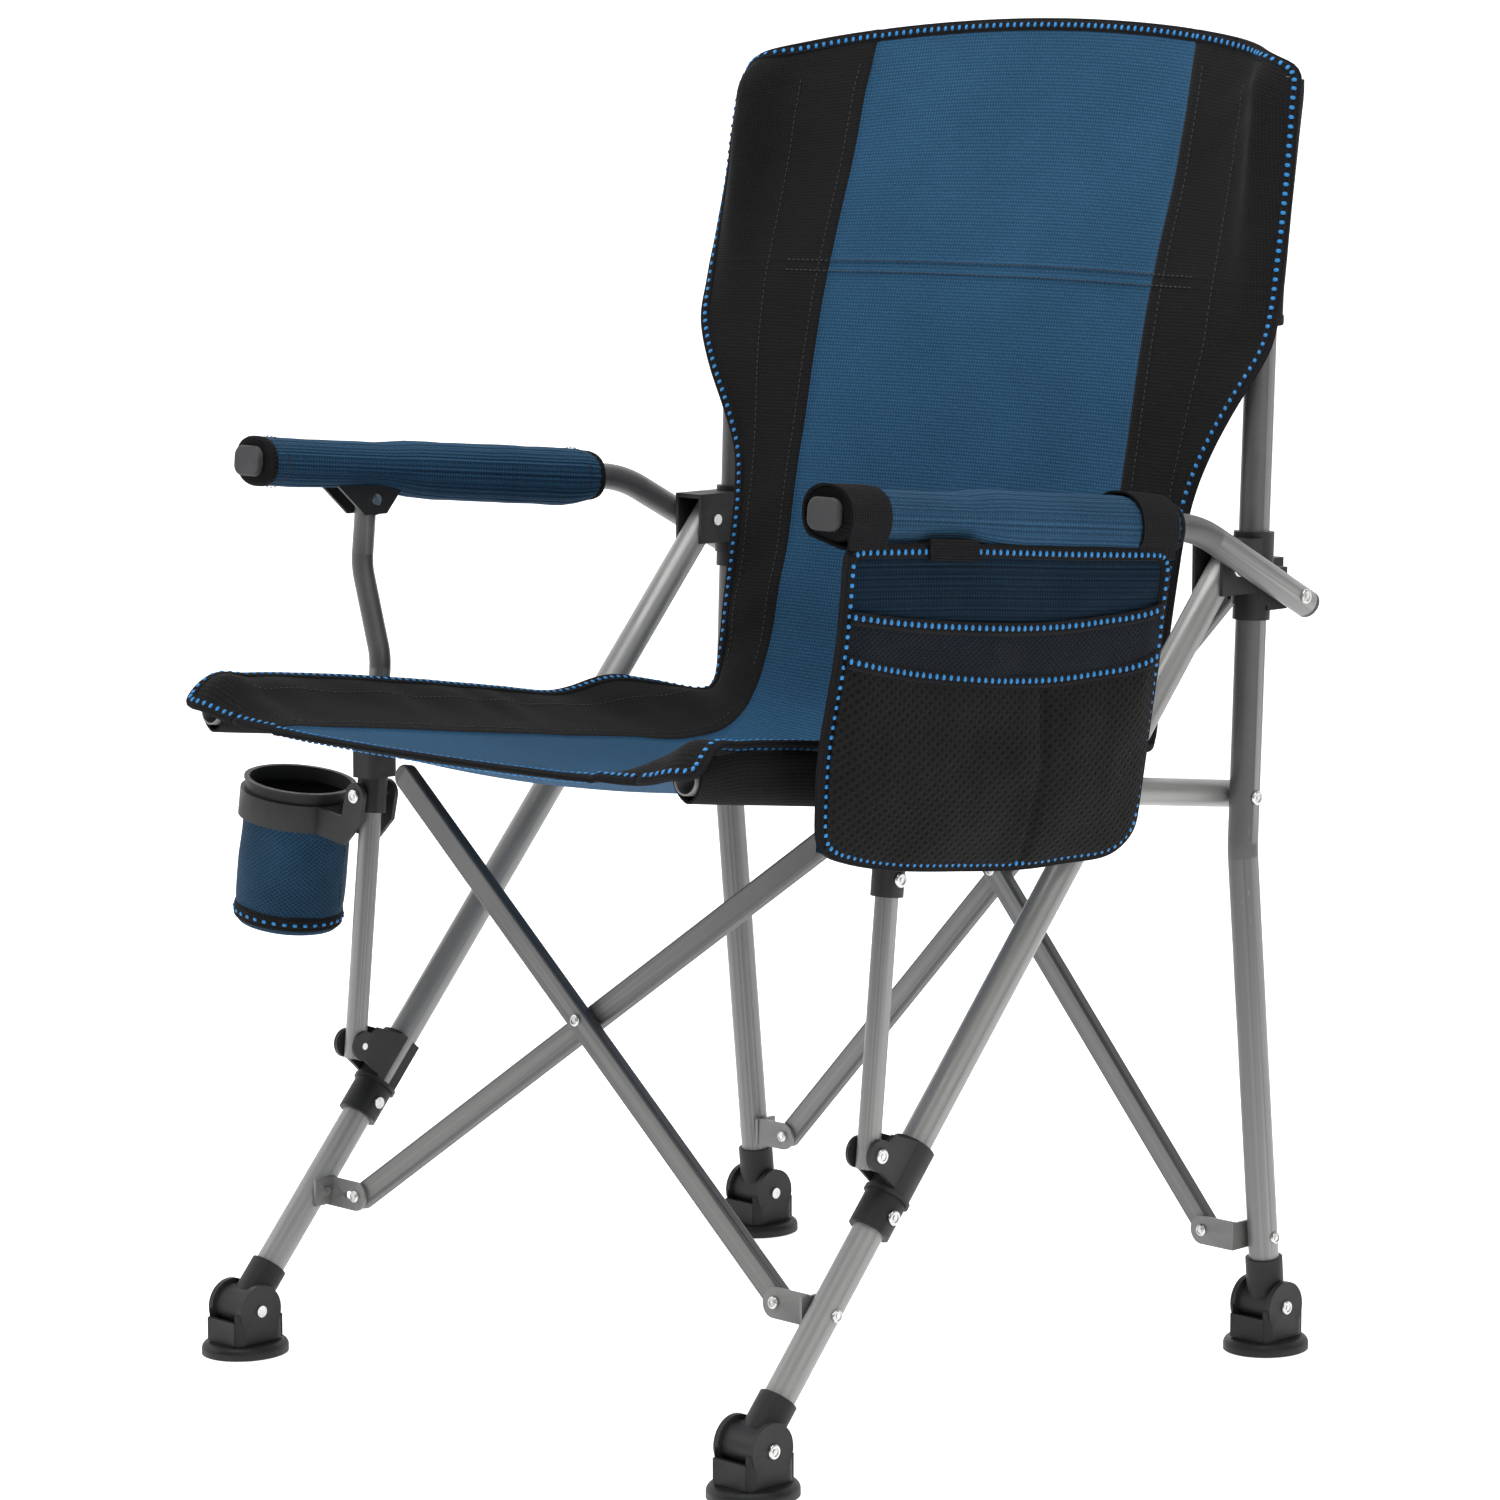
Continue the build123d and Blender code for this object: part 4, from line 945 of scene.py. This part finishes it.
for _ in range(3):
    border = (np.roll(border, 1, 0) + 2 * border + np.roll(border, -1, 0)) / 4
border = np.concatenate([border, border[:1]])
nb = np.repeat([[1.0, 0.0, 0.0]], len(border), 0)
heart = PANEL[NR // 2, NC // 2]
band = tape("pocket_binding", border, nb, heart, "left_arm", width=9.5, thick=5.6, sheet=0.6)
dots = stitches("stitches_pocket", [(border, nb, -3.2, 3.2, heart)], "left_arm", period=6.6)
extra += [band, dots]
for name, fn, off in (("pocket_band_upper", up_line, 3.4), ("pocket_band_lower", low_line, 3.8)):
    line = panel_point(t, fn(t), off + 0 * t)
    line = along(line, 5.0, False)
    nn = np.repeat([[1.0, 0.0, 0.0]], len(line), 0)
    inner = line[len(line) // 2] - [0, 0, 40]
    band = tape(name, line, nn, inner, "left_arm", 9.0, 3.4, 1.2, 4.5)
    dots = stitches("stitches_" + name, [(line, nn, 0.8, 1.5, inner)], "left_arm", period=6.6)
    extra += [band, dots]
tab_y, tab_w = np.meshgrid(np.linspace(-147, -99, 14), np.linspace(0, 1, 6))
tab_x = 312.0 + 0.6 * noise(tab_y / 9, tab_w * 3)
tab = np.stack([tab_x, tab_y, arm_z(tab_y) - 12.5 - 14.5 * tab_w], -1)
tab_out = grid_normals(tab)[3, 7, 0] > 0
extra.append(shell("pocket_tab", tab, 1.8, [M_WEB], "left_arm", None, None, not tab_out))

# Webbing loops that hang the pocket from the pad.
for tag, y0, y1 in (("front", -221, -184), ("rear", 66, 104)):
    rows = []
    for y in np.linspace(y0, y1, 14):
        hw, hh = pad_half(np.clip(y, -205, 102), "left")
        hw, hh = hw + 2.4, hh + 2.2 + (1.4 if y > 0 else 0)
        z = arm_z(y)
        a = np.linspace(-0.30 * math.pi, 1.30 * math.pi, 40)
        ring = np.stack([ARM_X + hw * soft_cos(a, SQUARE), np.full(40, y), z + hh * soft_sin(a, SQUARE)], 1)
        tail_out = np.array([[309.5, y, z - 22], [309, y, z - 14]])
        tail_in = np.array([[303.0, y, z - 22.5]])
        rows.append(np.concatenate([tail_out, ring[4:-1], tail_in]))
    g = np.array(rows)
    g[..., 2] += 0.5 * noise(g[..., 0] / 12, g[..., 1] / 12)
    out = grid_normals(g)[6, 20, 2] > 0
    piece = shell("pocket_loop_%s" % tag, g, 1.6, [M_WEB], "left_arm", None, None, not out)
    if tag == "front":
        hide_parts("pocket_loops")


# ---------------------------------------------------------------- cup holder bag

TILT = math.radians(9)
PIN = np.array([-262, -133.1, 399.0])
UP = np.array([math.sin(TILT), 0, math.cos(TILT)])
OUT = np.array([-math.cos(TILT), 0, math.sin(TILT)])
CUP_C = PIN + OUT * 80.6
SIDE = np.array([0.0, 1.0, 0.0])


def cup_ring(r, h, m=96, wob=0.0):
    a = np.linspace(0, 2 * math.pi, m, endpoint=False)
    rr = r + wob * noise(np.cos(a) * 2.2 + 3, np.sin(a) * 2.2, h / 18.0 + a * 0)
    return CUP_C + OUT * (rr * np.cos(a))[:, None] + SIDE * (rr * np.sin(a))[:, None] + UP * h


def bag_wall(radius, h):
    """A ring of the bag's wall, fuller half-way down and drawn in at its foot."""
    fullness = 1.1 * math.sin(math.pi * (-h - 36) / 90)
    return cup_ring(radius + fullness - 1.0 * max(0, (-h - 100) / 20), h, wob=0.9)


levels = np.linspace(-36, -119, 22)
outer = [bag_wall(40.0, h) for h in levels]
outer += [cup_ring(37.4, -121.4), cup_ring(34.5, -122.4), cup_ring(24, -121.6), cup_ring(10, -120.9)]
inner = [cup_ring(9, -119.5), cup_ring(24, -120.2), cup_ring(34, -120.6), cup_ring(36.6, -118.4)]
inner += [bag_wall(38.8, h) for h in levels[::-1][1:]]
rings = np.concatenate([np.array(inner), np.array(outer)])
bag = loft("cup_bag_net", rings, [M_NET_BLUE], "cup_holder", caps=False)
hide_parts("cup_bag")
a = np.linspace(0, 2 * math.pi, 73)


def cup_path(r, h):
    return CUP_C + OUT * (r * np.cos(a))[:, None] + SIDE * (r * np.sin(a))[:, None] + UP * h


nrm = OUT * np.cos(a)[:, None] + SIDE * np.sin(a)[:, None]
band_path = cup_path(40.4, -112.6)
foot = tape("cup_bag_binding", band_path, nrm, CUP_C - UP * 60, "cup_holder", 11.0, 2.8, 1.0, 5.5)
dots = stitches("stitches_cup_bag", [(cup_path(40.9, -112.6), nrm, 0.0, 0.9, CUP_C - UP * 60)], "cup_holder",
                period=7.8, dash=3.6, wide=2.6)
runs = []
for turn in (0.6, 2.7):
    h = np.linspace(-42, -106, 20)
    line = CUP_C + OUT * (40.9 * math.cos(turn)) + SIDE * (40.9 * math.sin(turn)) + UP * h[:, None]
    away = np.repeat([OUT * math.cos(turn) + SIDE * math.sin(turn)], 20, 0)
    runs.append((line, away, 0.0, 0.5, CUP_C))
seam = stitches("cup_bag_side_seam", runs, "cup_holder", M_DARK_THREAD, 4.6, 3.4, 1.4, 1.0)


# ---------------------------------------------------------------- the frame's own finishes

PLASTIC_PARTS = ("post_hub", "seat_hub", "foot", "sleeve", "collar", "cup_ring", "bracket")


def finish_for(node):
    if "rivet" in node:
        return M_ZINC
    if node.endswith("arm_end_caps"):
        return M_GREY_PLASTIC
    if "cross_bar" in node or node.endswith(("front_bracket", "rear_bracket")):
        return M_STRAP
    if any(word in node for word in PLASTIC_PARTS):
        return M_PLASTIC
    if "loops" in node or "pouch" in node or "back_fabric" in node:
        return M_WEB
    return M_STEEL


for name, node in frame["nodes"].items():
    node.data.materials.clear()
    node.data.materials.append(finish_for(name))


# ---------------------------------------------------------------- floor, light and camera

def stage_material():
    n = Nodes("Pale_floor")
    spot = n.add("TexCoord").outputs["Object"]
    fine = n.noise(spot, 60.0, 3.0)
    n.bsdf.inputs["Emission Color"].default_value = (1, 1, 1, 1)
    n.bsdf.inputs["Emission Strength"].default_value = 0.80
    n.bsdf.inputs["Specular IOR Level"].default_value = 0.1
    tone = n.ramp(fine, [(0.3, grey(0.80)), (0.7, grey(0.83))])
    return n.finish(tone, n.ramp(fine, [(0.3, grey(0.85)), (0.7, grey(0.95))]), fine, 0.02, 0.001)


verts = []
faces = []
profile = [(-9.0, 0.0), (3.0, 0.0)]
for i in range(1, 13):
    turn = i / 12 * math.pi / 2
    profile.append((3.0 + 2.0 * math.sin(turn), 2.0 - 2.0 * math.cos(turn)))
profile.append((5.0, 9.0))
for i, (d, z) in enumerate(profile):
    for w in (-14.0, 14.0):
        along_view = Vector((-0.7043, 0.7099, 0)) * d
        side_view = Vector((0.7099, 0.7043, 0)) * w
        verts.append((OX + along_view.x + side_view.x, OY + along_view.y + side_view.y, z - 0.0005))
for i in range(len(profile) - 1):
    faces.append((2 * i, 2 * i + 1, 2 * i + 3, 2 * i + 2))
me = bpy.data.meshes.new("studio_floor")
me.from_pydata(verts, [], faces)
me.polygons.foreach_set("use_smooth", [True] * len(me.polygons))
me.materials.append(stage_material())
floor = bpy.data.objects.new("studio_floor", me)
bpy.context.scene.collection.objects.link(floor)

sky = bpy.data.worlds.new("Studio")
bpy.context.scene.world = sky
sky.use_nodes = True
sky.node_tree.nodes["Background"].inputs["Color"].default_value = (1.0, 1.0, 1.0, 1)
sky.node_tree.nodes["Background"].inputs["Strength"].default_value = 0.26
plain = sky.node_tree.nodes.new("ShaderNodeBackground")
plain.inputs["Color"].default_value = (1, 1, 1, 1)
plain.inputs["Strength"].default_value = 1.1
rays = sky.node_tree.nodes.new("ShaderNodeLightPath")
choose = sky.node_tree.nodes.new("ShaderNodeMixShader")
for source, target_socket in ((rays.outputs["Is Camera Ray"], choose.inputs[0]),
                              (sky.node_tree.nodes["Background"].outputs[0], choose.inputs[1]),
                              (plain.outputs[0], choose.inputs[2]),
                              (choose.outputs[0], sky.node_tree.nodes["World Output"].inputs[0])):
    sky.node_tree.links.new(source, target_socket)


def lamp(name, place, aim, size, watts):
    data = bpy.data.lights.new(name, "AREA")
    data.shape = "DISK"
    data.size = size
    data.energy = watts
    obj = bpy.data.objects.new(name, data)
    obj.location = Vector(place) + Vector((OX, OY, 0))
    obj.rotation_euler = (Vector(aim) - Vector(place)).to_track_quat("-Z", "Y").to_euler()
    bpy.context.scene.collection.objects.link(obj)


lamp("Top", (0.3, -0.5, 3.2), (0, 0, 0.4), 2.6, 74)
lamp("Key", (-2.4, -2.2, 2.0), (0, 0, 0.5), 1.8, 25)
lamp("Fill", (3.0, -0.4, 1.5), (0, 0, 0.5), 2.2, 17)

cam = bpy.data.cameras.new("Camera")
cam.lens = 121.8
cam.sensor_width = 36
eye = bpy.data.objects.new("Camera", cam)
eye.location = Vector((2.551 + OX, -2.571 + OY, 0.960))
target = Vector((OX, OY, 0.4447))
eye.rotation_euler = (target - eye.location).to_track_quat("-Z", "Y").to_euler()
bpy.context.scene.collection.objects.link(eye)
bpy.context.scene.camera = eye
bpy.context.scene.view_settings.view_transform = "Standard"

bpy.context.view_layer.update()
